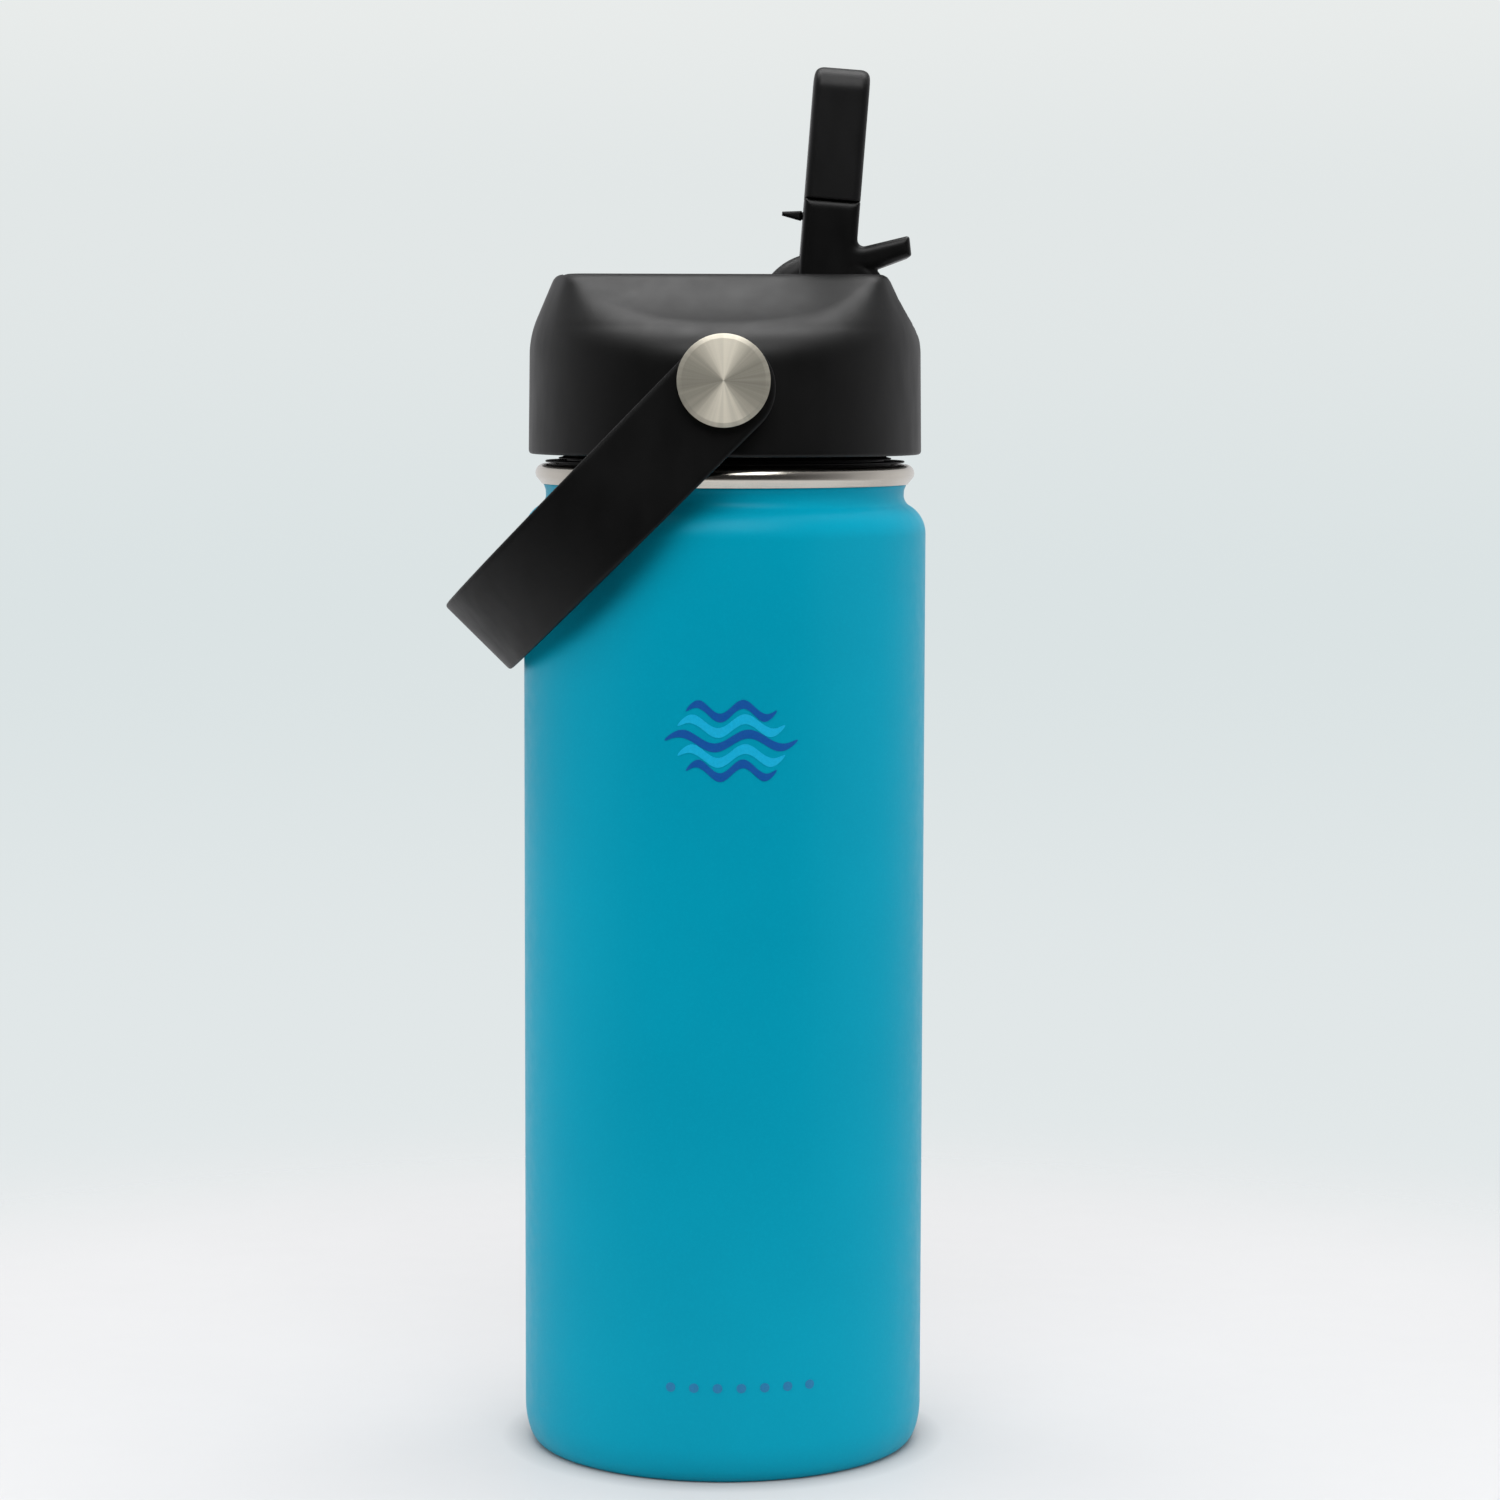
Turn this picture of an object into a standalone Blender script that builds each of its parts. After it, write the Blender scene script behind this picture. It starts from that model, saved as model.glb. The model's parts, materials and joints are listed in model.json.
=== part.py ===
"""Insulated water bottle with a flip-spout straw lid and a swinging carry handle.

Units are metres, +Z is up. The origin is on the table under the flask's axis,
and the front of the bottle faces -Y.
"""
import math

import bmesh
import bpy
from mathutils import Vector

MM = 0.001

# Mesh fineness: faces round a full turn.
ROUND = 40
SMALL_ROUND = 16
TINY_ROUND = 12
SCOOP_FACES = 64
THREAD_STEPS = 24

# Mesh fineness: faces along part of a turn.
EDGE_STEPS = 3
BEND_STEPS = 4
NOSE_STEPS = 6
SWEEP_STEPS = 10
EYE_STEPS = 14
ARCH_STEPS = 24

# Running gap between neighbouring pieces.
GAP = 0.3 * MM

# How far a cutting or joining shape runs past the face that it goes through.
OVERRUN = 2.0 * MM

# Drawn size of the empties that pieces are parented to.
EMPTY_SIZE = 10.0 * MM

# Flask, outer shell.
BODY_RADIUS = 36.5 * MM
SHEET = 0.6 * MM
BASE_CORNER = 5.5 * MM
FOOT_INNER = 27.6 * MM
FOOT_LIP = 2.4 * MM
SHOULDER_START = 167.0 * MM
SHOULDER_ROUND = 5.8 * MM
SHOULDER_TURN = 60.0
NECK_RADIUS = 32.5 * MM
NECK_FILLET = 2.2 * MM
NECK_TOP = 175.2 * MM
NECK_FLARE = 0.4 * MM
NECK_FLARE_START = 174.3 * MM

# Flask, inner liner and its rolled rim.
LINER_BOTTOM = 7.6 * MM
LINER_RADIUS = 33.6 * MM
LINER_CORNER = 5.0 * MM
LINER_NARROWS = 158.0 * MM
LINER_NECK_START = 163.0 * MM
MOUTH_RADIUS = 30.4 * MM
MOUTH_CHAMFER = 0.5 * MM
RIM_CENTRE_RADIUS = 32.8 * MM
RIM_CENTRE_HEIGHT = 177.9 * MM
RIM_ROUND = 1.6 * MM
RIM_UNDERCUT = -30.0
RIM_FOOT_RADIUS = 33.2 * MM
RIM_FOOT = 175.5 * MM

# Screw thread between flask and lid.
PITCH = 4.0 * MM
THREAD_TURNS = 1.25
LINER_THREAD_START = 169.0 * MM
LINER_THREAD_RADIUS = 30.5 * MM
LINER_THREAD_BEAD = 0.8 * MM
LID_THREAD_RADIUS = 29.1 * MM
LID_THREAD_BEAD = 1.0 * MM

# Bottom of the flask.
PLATE_UNDER = 1.5 * MM
DIMPLE_RADIUS = 5.0 * MM
DIMPLE_RISE = 1.5 * MM
PORT_RADIUS = 0.9 * MM
COVER_RADIUS = 18.0 * MM
COVER_THICK = 1.1 * MM
COVER_CHAMFER = 0.4 * MM
BEAD_RADIUS = 2.2 * MM
BEAD_FOOT_RADIUS = 1.3 * MM
GETTER_X = 14.0 * MM
GETTER_RADIUS = 3.6 * MM
GETTER_THICK = 1.6 * MM
BRACKET_WIDTH = 4.0 * MM
BRACKET_SHEET = 0.4 * MM
BRACKET_FOOT = 2.5 * MM

# Lid gasket, an L-shaped ring.
GASKET_OUTER = 32.6 * MM
GASKET_TOP = 180.15 * MM
GASKET_UNDER = 179.8 * MM
GASKET_LIP_FOOT = 178.0 * MM

# Lid core: plug, collar, straw nozzle and vent tube.
PLUG_RADIUS = 28.7 * MM
PLUG_WALL = 2.0 * MM
PLUG_BOTTOM = 163.0 * MM
PLUG_CHAMFER = 1.2 * MM
PLUG_TOP = 197.7 * MM
COLLAR_RADIUS = 30.2 * MM
COLLAR_UNDER = 180.45 * MM
COLLAR_EDGE = 0.2 * MM
COLLAR_WAIST_RADIUS = 29.4 * MM
COLLAR_WAIST = 180.95 * MM
COLLAR_TOP = 181.5 * MM
NOZZLE_RADIUS = 3.4 * MM
NOZZLE_BORE = 2.1 * MM
NOZZLE_TOP = 196.6 * MM
BARB_RADIUS = 3.0 * MM
BARB_BOTTOM = 152.0 * MM
NOZZLE_SEAL_RADIUS = 4.2 * MM
STRAW_RADIUS = 3.9 * MM
STRAW_BORE = 3.3 * MM
STRAW_BOTTOM = 12.0 * MM
VENT_X = -1.3 * MM
VENT_TUBE_RADIUS = 3.2 * MM
VENT_BORE = 1.2 * MM
VENT_TUBE_TOP = 193.5 * MM
VALVE_THICK = 0.6 * MM
GROMMET_RADIUS = 3.6 * MM
GROMMET_BORE = 1.7 * MM

# Cap shell.
CAP_BOTTOM = 181.3 * MM
CAP_FOOT_CHAMFER = 0.4 * MM
CAP_RADIUS = 35.6 * MM
CAP_DRAFT = 0.2 * MM
CAP_SHOULDER_START = 199.0 * MM
CAP_SHOULDER_ROUND = 17.0 * MM
CAP_SHOULDER_TURN = 23.0
CAP_TOP = 213.8 * MM
CAP_TOP_ROUND = 1.0 * MM
CAP_INSIDE_RADIUS = 33.4 * MM
CAP_ROOF = 198.4 * MM
SCOOP_RADIUS = 28.9 * MM
SCOOP_Y = 36.2 * MM
SCOOP_Z = 232.2 * MM

# Spout hinge and the slot that the spout folds into.
SPOUT_X = 17.0 * MM
SPOUT_Z = 206.0 * MM
SPOUT_LEAN = 4.4
SLOT_HALF_WIDTH = 9.0 * MM
SLOT_FLOOR = 200.9 * MM
SLOT_END = -28.7 * MM
SLOT_SILL = 205.0 * MM
POCKET_RADIUS = 14.1 * MM
POCKET_FLOOR = 199.9 * MM
DRUM_RADIUS = 11.6 * MM
DRUM_HALF_WIDTH = 5.0 * MM
PASSAGE_RADIUS = 2.2 * MM
VENT_HOLE_LEFT = -3.2 * MM
VENT_HOLE_RIGHT = 1.1 * MM
VENT_HOLE_HALF_WIDTH = 1.8 * MM
HINGE_PIN_RADIUS = 1.25 * MM
HINGE_PIN_INNER = 3.6 * MM
HINGE_PIN_OUTER = 12.0 * MM

# Spout, in its own frame: the hinge axis is the origin and the spout points up.
SPOUT_HALF_WIDTH = 8.5 * MM
SPOUT_LEFT = -4.4 * MM
SPOUT_RIGHT = 5.6 * MM
SPOUT_SEAM = 20.9 * MM
SPOUT_TIP = 44.65 * MM
FORK_STEP = 2.5 * MM
SHOE_OUTER = 13.2 * MM
SHOE_END = -20.0
SHOE_TAB_ANGLE = 45.0
TAB_LOW_END = (15.5 * MM, 12.1 * MM)
TAB_TOP_END = (14.8 * MM, 15.7 * MM)
TAB_ROOT = 13.1 * MM
TAB_FILLET = 1.2 * MM
SPIGOT_TOP = 31.0 * MM
SPIGOT_HALF_THICK = 2.7 * MM
SPIGOT_HALF_WIDTH = 6.2 * MM
MOUTH_CORNER = 4.0 * MM
MOUTH_EDGE = 1.3 * MM
MOUTH_EDGE_STEPS = 2
MOUTH_BORE_HALF_THICK = 1.7 * MM
MOUTH_BORE_HALF_WIDTH = 3.2 * MM
SEAL_RADIUS = 3.3 * MM
SEAL_BORE = 2.4 * MM
SEAL_TOP = 14.6 * MM
TOOTH_ROOT_LOW = 17.0 * MM
TOOTH_ROOT_HIGH = 18.8 * MM
TOOTH_REACH = 3.8 * MM
TOOTH_TIP_LOW = 17.7 * MM
TOOTH_TIP_HIGH = 18.4 * MM
TOOTH_HALF_WIDTH = 1.2 * MM
TOOTH_STEM_RADIUS = 0.7 * MM
TOOTH_STEM_DEPTH = 1.0 * MM

# Handle, in its own frame: the pivot is the origin and the arms run along +X.
HANDLE_Z = 194.6 * MM
HANDLE_ANGLE = 134.7
HANDLE_OFFSET = 1.0 * MM
HANDLE_EYE_X = 0.8 * MM
HANDLE_EYE_RADIUS = 8.8 * MM
HANDLE_END_HALF_WIDTH = 8.3 * MM
HANDLE_INNER = 36.9 * MM
HANDLE_THICK = 2.8 * MM
HANDLE_STRAIGHT = 25.15 * MM
HANDLE_PIN_RADIUS = 2.6 * MM
HANDLE_PIN_INNER = 30.6 * MM
BUTTON_RADIUS = 8.05 * MM
BUTTON_THICK = 1.8 * MM
BUTTON_BEVEL = 0.5 * MM
WASHER_RADIUS = 7.0 * MM
WASHER_INNER_FACE = 35.75 * MM
WASHER_THICK = 0.85 * MM
CLIP_RADIUS = 5.5 * MM
CLIP_INNER_FACE = 31.9 * MM
CLIP_THICK = 0.7 * MM
CLIP_MOUTH = 2.2 * MM

MERGE = 0.01 * MM
SHARP_ANGLE = 35.0


# ---------------------------------------------------------------- scene set-up

def clear_scene():
    """Remove every object, so that the script can be run again."""
    for old in list(bpy.data.objects):
        bpy.data.objects.remove(old, do_unlink=True)
    for old in list(bpy.data.collections):
        bpy.data.collections.remove(old)


def new_collection(name):
    """A collection linked to the scene."""
    collection = bpy.data.collections.new(name)
    bpy.context.scene.collection.children.link(collection)
    return collection


def material(name, colour, roughness, metallic=0.0):
    """A Principled material of one colour."""
    made = bpy.data.materials.new(name)
    made.use_nodes = True
    made.diffuse_color = (*colour, 1.0)
    shader = made.node_tree.nodes["Principled BSDF"]
    shader.inputs["Base Color"].default_value = (*colour, 1.0)
    shader.inputs["Roughness"].default_value = roughness
    shader.inputs["Metallic"].default_value = metallic
    return made


def empty(name, location, lean):
    """A frame that pieces are parented to, turned about Y by lean degrees."""
    frame = bpy.data.objects.new(name, None)
    frame.empty_display_size = EMPTY_SIZE
    frame.location = location
    frame.rotation_euler = (0.0, math.radians(lean), 0.0)
    PARTS.objects.link(frame)
    return frame


def add_part(name, mesh, finish, parent=None, location=(0.0, 0.0, 0.0)):
    """Put a mesh in the parts collection as a named piece."""
    piece = bpy.data.objects.new(name, mesh)
    piece.location = location
    piece.parent = parent
    mesh.materials.append(finish)
    PARTS.objects.link(piece)
    return piece


def add_cutter(name, mesh, parent=None, location=(0.0, 0.0, 0.0)):
    """Put a mesh in the cutters collection as a wire guide."""
    guide = bpy.data.objects.new(name, mesh)
    guide.location = location
    guide.parent = parent
    guide.hide_render = True
    guide.display_type = 'WIRE'
    CUTTERS.objects.link(guide)
    return guide


# ---------------------------------------------------------------- shape helpers

def arc(centre, radius, start, end, steps):
    """Points on an arc, with the angles in degrees."""
    points = []
    for step in range(steps + 1):
        angle = math.radians(start + (end - start) * step / steps)
        points.append((centre[0] + radius * math.cos(angle), centre[1] + radius * math.sin(angle)))
    return points


def profile_mesh(name, profile, closed):
    """A wire mesh of (radius, height) points in the XZ plane."""
    mesh = bpy.data.meshes.new(name)
    edges = [(index, index + 1) for index in range(len(profile) - 1)]
    if closed:
        edges.append((len(profile) - 1, 0))
    mesh.from_pydata([(radius, 0.0, height) for radius, height in profile], edges, [])
    return mesh


def add_screw(thing, steps):
    """Turn a profile round Z."""
    screw = thing.modifiers.new("Turn", 'SCREW')
    screw.axis = 'Z'
    screw.steps = steps
    screw.render_steps = steps
    screw.use_merge_vertices = True
    screw.merge_threshold = MERGE
    screw.use_smooth_shade = True


def turned(name, profile, finish, closed=False, steps=ROUND, location=(0.0, 0.0, 0.0), parent=None):
    """A turned piece: the profile's outer side runs from top to bottom."""
    piece = add_part(name, profile_mesh(name, profile, closed), finish, parent, location)
    add_screw(piece, steps)
    return piece


def turned_cutter(name, profile, steps=ROUND):
    """A turned guide shape."""
    guide = add_cutter(name, profile_mesh(name, profile, False))
    add_screw(guide, steps)
    return guide


def cylinder_mesh(name, radius, start, end, steps=SMALL_ROUND):
    """A cylinder along Y from y = start to y = end."""
    mesh = bpy.data.meshes.new(name)
    shape = bmesh.new()
    bmesh.ops.create_cone(
        shape, cap_ends=True, segments=steps, radius1=radius, radius2=radius, depth=abs(end - start))
    bmesh.ops.rotate(shape, verts=shape.verts, matrix=Y_FROM_Z)
    bmesh.ops.translate(shape, verts=shape.verts, vec=(0.0, (start + end) / 2, 0.0))
    shape.to_mesh(mesh)
    shape.free()
    return mesh


def upright_mesh(name, radius, bottom, top, steps=SMALL_ROUND):
    """A cylinder along Z from z = bottom to z = top."""
    mesh = bpy.data.meshes.new(name)
    shape = bmesh.new()
    bmesh.ops.create_cone(
        shape, cap_ends=True, segments=steps, radius1=radius, radius2=radius, depth=top - bottom)
    bmesh.ops.translate(shape, verts=shape.verts, vec=(0.0, 0.0, (bottom + top) / 2))
    shape.to_mesh(mesh)
    shape.free()
    return mesh


def box_mesh(name, low, high):
    """A box between two corners."""
    mesh = bpy.data.meshes.new(name)
    shape = bmesh.new()
    bmesh.ops.create_cube(shape, size=1.0)
    size = Vector(high) - Vector(low)
    bmesh.ops.scale(shape, verts=shape.verts, vec=size)
    bmesh.ops.translate(shape, verts=shape.verts, vec=(Vector(high) + Vector(low)) / 2)
    shape.to_mesh(mesh)
    shape.free()
    return mesh


def curve_to_mesh(curve, name):
    """The mesh of a filled or bevelled curve, with its caps welded on."""
    holder = bpy.data.objects.new(name, curve)
    CUTTERS.objects.link(holder)
    graph = bpy.context.evaluated_depsgraph_get()
    mesh = bpy.data.meshes.new_from_object(holder.evaluated_get(graph))
    mesh.name = name
    bpy.data.objects.remove(holder, do_unlink=True)
    shape = bmesh.new()
    shape.from_mesh(mesh)
    bmesh.ops.remove_doubles(shape, verts=shape.verts, dist=MERGE)
    bmesh.ops.recalc_face_normals(shape, faces=shape.faces)
    shape.to_mesh(mesh)
    shape.free()
    return mesh


def plate_mesh(name, outline, half_depth):
    """A flat outline in the XY plane, made a plate of twice half_depth along Z."""
    curve = bpy.data.curves.new(name, 'CURVE')
    curve.dimensions = '2D'
    curve.fill_mode = 'BOTH'
    curve.extrude = half_depth
    spline = curve.splines.new('POLY')
    spline.points.add(len(outline) - 1)
    for point, (x, y) in zip(spline.points, outline):
        point.co = (x, y, 0.0, 1.0)
    spline.use_cyclic_u = True
    return curve_to_mesh(curve, name)


def side_plate_mesh(name, outline, half_depth):
    """An outline in the XZ plane, made a plate of twice half_depth along Y."""
    mesh = plate_mesh(name, outline, half_depth)
    mesh.transform(Y_FROM_Z)
    return mesh


def front_plate_mesh(name, outline, half_depth, middle):
    """An outline in the YZ plane, made a plate along X centred on x = middle."""
    mesh = side_plate_mesh(name, outline, half_depth)
    for vertex in mesh.vertices:
        x, y, z = vertex.co
        vertex.co = (middle - y, x, z)
    return mesh


def helix_mesh(name, radius, bead, start):
    """A right-hand helical bead, as one POLY curve with a round bevel."""
    curve = bpy.data.curves.new(name, 'CURVE')
    curve.dimensions = '3D'
    curve.bevel_depth = bead
    curve.bevel_resolution = 2
    curve.use_fill_caps = True
    spline = curve.splines.new('POLY')
    count = int(THREAD_TURNS * THREAD_STEPS)
    spline.points.add(count)
    for index, point in enumerate(spline.points):
        angle = math.tau * index / THREAD_STEPS
        height = start + PITCH * angle / math.tau
        point.co = (radius * math.cos(angle), radius * math.sin(angle), height, 1.0)
    return curve_to_mesh(curve, name)


def combine(piece, guide, operation):
    """Cut, join or intersect a piece with a guide shape."""
    boolean = piece.modifiers.new(guide.name, 'BOOLEAN')
    boolean.operation = operation
    boolean.solver = 'EXACT'
    boolean.object = guide


def cut(piece, guide):
    """Take the guide shape out of the piece."""
    combine(piece, guide, 'DIFFERENCE')


def join(piece, guide):
    """Add the guide shape to the piece."""
    combine(piece, guide, 'UNION')


def bevel(piece, width, segments):
    """Round the sharp edges of a piece."""
    edge = piece.modifiers.new("Edges", 'BEVEL')
    edge.width = width
    edge.segments = segments
    edge.limit_method = 'ANGLE'
    edge.angle_limit = math.radians(SHARP_ANGLE)


# ---------------------------------------------------------------- flask

def shell_outline():
    """Outer face of the painted shell, from the neck down to the foot ring's lip."""
    blend = SHOULDER_START + SHOULDER_ROUND * math.sin(math.radians(SHOULDER_TURN))
    fillet_height = blend + NECK_FILLET * math.sin(math.radians(SHOULDER_TURN))
    neck_turn = 180 + SHOULDER_TURN
    outline = [(NECK_RADIUS + NECK_FLARE, NECK_TOP), (NECK_RADIUS, NECK_FLARE_START)]
    outline += arc((NECK_RADIUS + NECK_FILLET, fillet_height), NECK_FILLET, 180, neck_turn, EDGE_STEPS)
    shoulder_centre = (BODY_RADIUS - SHOULDER_ROUND, SHOULDER_START)
    outline += arc(shoulder_centre, SHOULDER_ROUND, SHOULDER_TURN, 0, BEND_STEPS)[1:]
    outline += arc((BODY_RADIUS - BASE_CORNER, BASE_CORNER), BASE_CORNER, 0, -90, BEND_STEPS)
    outline.append((FOOT_INNER, 0.0))
    outline.append((FOOT_INNER, FOOT_LIP))
    return outline


def make_outer_shell():
    """Painted steel shell, one sheet thick, with its foot ring on the table."""
    shell = turned("outer_shell", shell_outline(), PAINTED_STEEL)
    sheet = shell.modifiers.new("Sheet", 'SOLIDIFY')
    sheet.thickness = SHEET
    sheet.offset = -1.0
    sheet.use_even_offset = True


def make_inner_liner():
    """Steel liner with its closed bottom, narrow neck, rolled rim and internal thread."""
    inside = LINER_RADIUS - SHEET
    outside_neck = MOUTH_RADIUS + SHEET
    corner = LINER_CORNER - SHEET
    profile = [(0.0, LINER_BOTTOM + SHEET)]
    rim_top = RIM_CENTRE_HEIGHT + RIM_ROUND
    profile += arc((inside - corner, LINER_BOTTOM + LINER_CORNER), corner, -90, 0, EDGE_STEPS)
    profile.append((inside, LINER_NARROWS))
    profile.append((MOUTH_RADIUS, LINER_NECK_START))
    profile.append((MOUTH_RADIUS, rim_top - MOUTH_CHAMFER))
    profile.append((MOUTH_RADIUS + MOUTH_CHAMFER, rim_top))
    profile += arc((RIM_CENTRE_RADIUS, RIM_CENTRE_HEIGHT), RIM_ROUND, 90, RIM_UNDERCUT, NOSE_STEPS)
    profile.append((RIM_FOOT_RADIUS, RIM_FOOT))
    profile.append((outside_neck, RIM_FOOT))
    profile.append((outside_neck, LINER_NECK_START + SHEET / 2))
    profile.append((LINER_RADIUS, LINER_NARROWS + SHEET / 2))
    outer_corner = (LINER_RADIUS - LINER_CORNER, LINER_BOTTOM + LINER_CORNER)
    profile += arc(outer_corner, LINER_CORNER, 0, -90, EDGE_STEPS)
    profile.append((0.0, LINER_BOTTOM))
    liner = turned("inner_liner", profile, BARE_STEEL)
    thread = helix_mesh("liner_thread", LINER_THREAD_RADIUS, LINER_THREAD_BEAD, LINER_THREAD_START)
    join(liner, add_cutter("liner_thread", thread))


def make_flask_bottom():
    """Bottom plate with its vacuum port, the seal in it and the cover disc under it."""
    plate_radius = FOOT_INNER - SHEET - GAP - GAP
    plate_top = PLATE_UNDER + SHEET
    plate = [
        (PORT_RADIUS, plate_top + DIMPLE_RISE),
        (DIMPLE_RADIUS, plate_top + DIMPLE_RISE),
        (DIMPLE_RADIUS + DIMPLE_RISE, plate_top),
        (plate_radius, plate_top),
        (plate_radius, PLATE_UNDER),
        (DIMPLE_RADIUS + DIMPLE_RISE, PLATE_UNDER),
        (DIMPLE_RADIUS, PLATE_UNDER + DIMPLE_RISE),
        (PORT_RADIUS, PLATE_UNDER + DIMPLE_RISE),
    ]
    turned("outer_bottom", plate, BARE_STEEL, closed=True)
    cover = [
        (0.0, COVER_THICK),
        (COVER_RADIUS - COVER_CHAMFER, COVER_THICK),
        (COVER_RADIUS, COVER_THICK - COVER_CHAMFER),
        (COVER_RADIUS, 0.0),
        (0.0, 0.0),
    ]
    turned("base_cover", cover, RUBBER)
    seal_top = PLATE_UNDER + DIMPLE_RISE - GAP
    seal_foot = COVER_THICK + GAP
    seal = [(0.0, seal_top), (BEAD_RADIUS, seal_top), (BEAD_FOOT_RADIUS, seal_foot), (0.0, seal_foot)]
    turned("vacuum_seal_bead", seal, SOLDER, steps=SMALL_ROUND)


def make_getter():
    """Getter tablet in the vacuum space, held down by a bent steel strip."""
    foot = PLATE_UNDER + SHEET + GAP
    low = foot + GAP
    high = low + GETTER_THICK
    tablet = [(0.0, high), (GETTER_RADIUS, high), (GETTER_RADIUS, low), (0.0, low)]
    turned("getter_tablet", tablet, GETTER_GREY, steps=SMALL_ROUND, location=(GETTER_X, 0.0, 0.0))
    reach = GETTER_RADIUS + GAP
    top = high + GAP
    over = top + BRACKET_SHEET
    foot_top = foot + BRACKET_SHEET
    wide = reach + BRACKET_SHEET
    end = reach + BRACKET_FOOT
    strip = [
        (-end, foot), (-reach, foot), (-reach, top), (reach, top), (reach, foot), (end, foot),
        (end, foot_top), (wide, foot_top), (wide, over), (-wide, over), (-wide, foot_top), (-end, foot_top),
    ]
    mesh = side_plate_mesh("getter_bracket", strip, BRACKET_WIDTH / 2)
    add_part("getter_bracket", mesh, BARE_STEEL, location=(GETTER_X, 0.0, 0.0))


# ---------------------------------------------------------------- lid

def make_lid_gasket():
    """L-shaped seal that sits on the rim, with a lip down inside the mouth."""
    lip_outer = MOUTH_RADIUS - GAP
    lip_inner = PLUG_RADIUS + GAP
    profile = [
        (lip_inner, GASKET_TOP), (GASKET_OUTER, GASKET_TOP), (GASKET_OUTER, GASKET_UNDER),
        (lip_outer, GASKET_UNDER), (lip_outer, GASKET_LIP_FOOT), (lip_inner, GASKET_LIP_FOOT),
    ]
    turned("lid_gasket", profile, SILICONE, closed=True)


def make_lid_core():
    """Threaded plug, open at the top, with the straw nozzle and the vent tube."""
    inside = PLUG_RADIUS - PLUG_WALL
    profile = [
        (0.0, PLUG_BOTTOM + PLUG_WALL),
        (inside, PLUG_BOTTOM + PLUG_WALL),
        (inside, PLUG_TOP),
        (PLUG_RADIUS, PLUG_TOP),
        (PLUG_RADIUS, COLLAR_TOP),
        (COLLAR_WAIST_RADIUS, COLLAR_WAIST),
        (COLLAR_RADIUS, COLLAR_UNDER + COLLAR_EDGE),
        (COLLAR_RADIUS, COLLAR_UNDER),
        (PLUG_RADIUS, COLLAR_UNDER),
        (PLUG_RADIUS, PLUG_BOTTOM + PLUG_CHAMFER),
        (PLUG_RADIUS - PLUG_CHAMFER, PLUG_BOTTOM),
        (0.0, PLUG_BOTTOM),
    ]
    core = turned("lid_core", profile, CORE_PLASTIC)
    middle = PLUG_BOTTOM + PLUG_WALL / 2
    thread_start = LINER_THREAD_START - PITCH / 2
    thread = helix_mesh("lid_thread", LID_THREAD_RADIUS, LID_THREAD_BEAD, thread_start)
    join(core, add_cutter("lid_thread", thread))
    nozzle = upright_mesh("nozzle_tube", NOZZLE_RADIUS, middle, NOZZLE_TOP)
    join(core, add_cutter("nozzle_tube", nozzle, location=(SPOUT_X, 0.0, 0.0)))
    barb = upright_mesh("nozzle_barb", BARB_RADIUS, BARB_BOTTOM, middle + PLUG_WALL / 4)
    join(core, add_cutter("nozzle_barb", barb, location=(SPOUT_X, 0.0, 0.0)))
    vent = upright_mesh("vent_tube", VENT_TUBE_RADIUS, middle, VENT_TUBE_TOP)
    join(core, add_cutter("vent_tube", vent, location=(VENT_X, 0.0, 0.0)))
    bore = upright_mesh("nozzle_bore", NOZZLE_BORE, BARB_BOTTOM - OVERRUN, NOZZLE_TOP + OVERRUN)
    cut(core, add_cutter("nozzle_bore", bore, location=(SPOUT_X, 0.0, 0.0)))
    vent_end = VENT_TUBE_TOP + OVERRUN
    vent_bore = upright_mesh("vent_bore", VENT_BORE, PLUG_BOTTOM - OVERRUN, vent_end, TINY_ROUND)
    cut(core, add_cutter("vent_bore", vent_bore, location=(VENT_X, 0.0, 0.0)))


def ring(name, outer, bore, bottom, top, finish, x):
    """An upright ring or tube at a place on the X axis."""
    profile = [(bore, top), (outer, top), (outer, bottom), (bore, bottom)]
    turned(name, profile, finish, closed=True, steps=SMALL_ROUND, location=(x, 0.0, 0.0))


def make_fluid_parts():
    """Straw, nozzle seal, and the vent's valve and grommet."""
    ring("straw", STRAW_RADIUS, STRAW_BORE, STRAW_BOTTOM, PLUG_BOTTOM - GAP, STRAW_PLASTIC, SPOUT_X)
    under_roof = CAP_ROOF - GAP
    seal_foot = NOZZLE_TOP + GAP
    seal_bore = NOZZLE_BORE + GAP
    ring("nozzle_seal", NOZZLE_SEAL_RADIUS, seal_bore, seal_foot, under_roof, SILICONE, SPOUT_X)
    valve_foot = VENT_TUBE_TOP + GAP
    valve_top = valve_foot + VALVE_THICK
    radius = VENT_TUBE_RADIUS - GAP
    valve = [(0.0, valve_top), (radius, valve_top), (radius, valve_foot), (0.0, valve_foot)]
    turned("vent_valve", valve, SILICONE, steps=SMALL_ROUND, location=(VENT_X, 0.0, 0.0))
    ring("vent_grommet", GROMMET_RADIUS, GROMMET_BORE, valve_top + GAP, under_roof, SILICONE, VENT_X)


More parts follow.
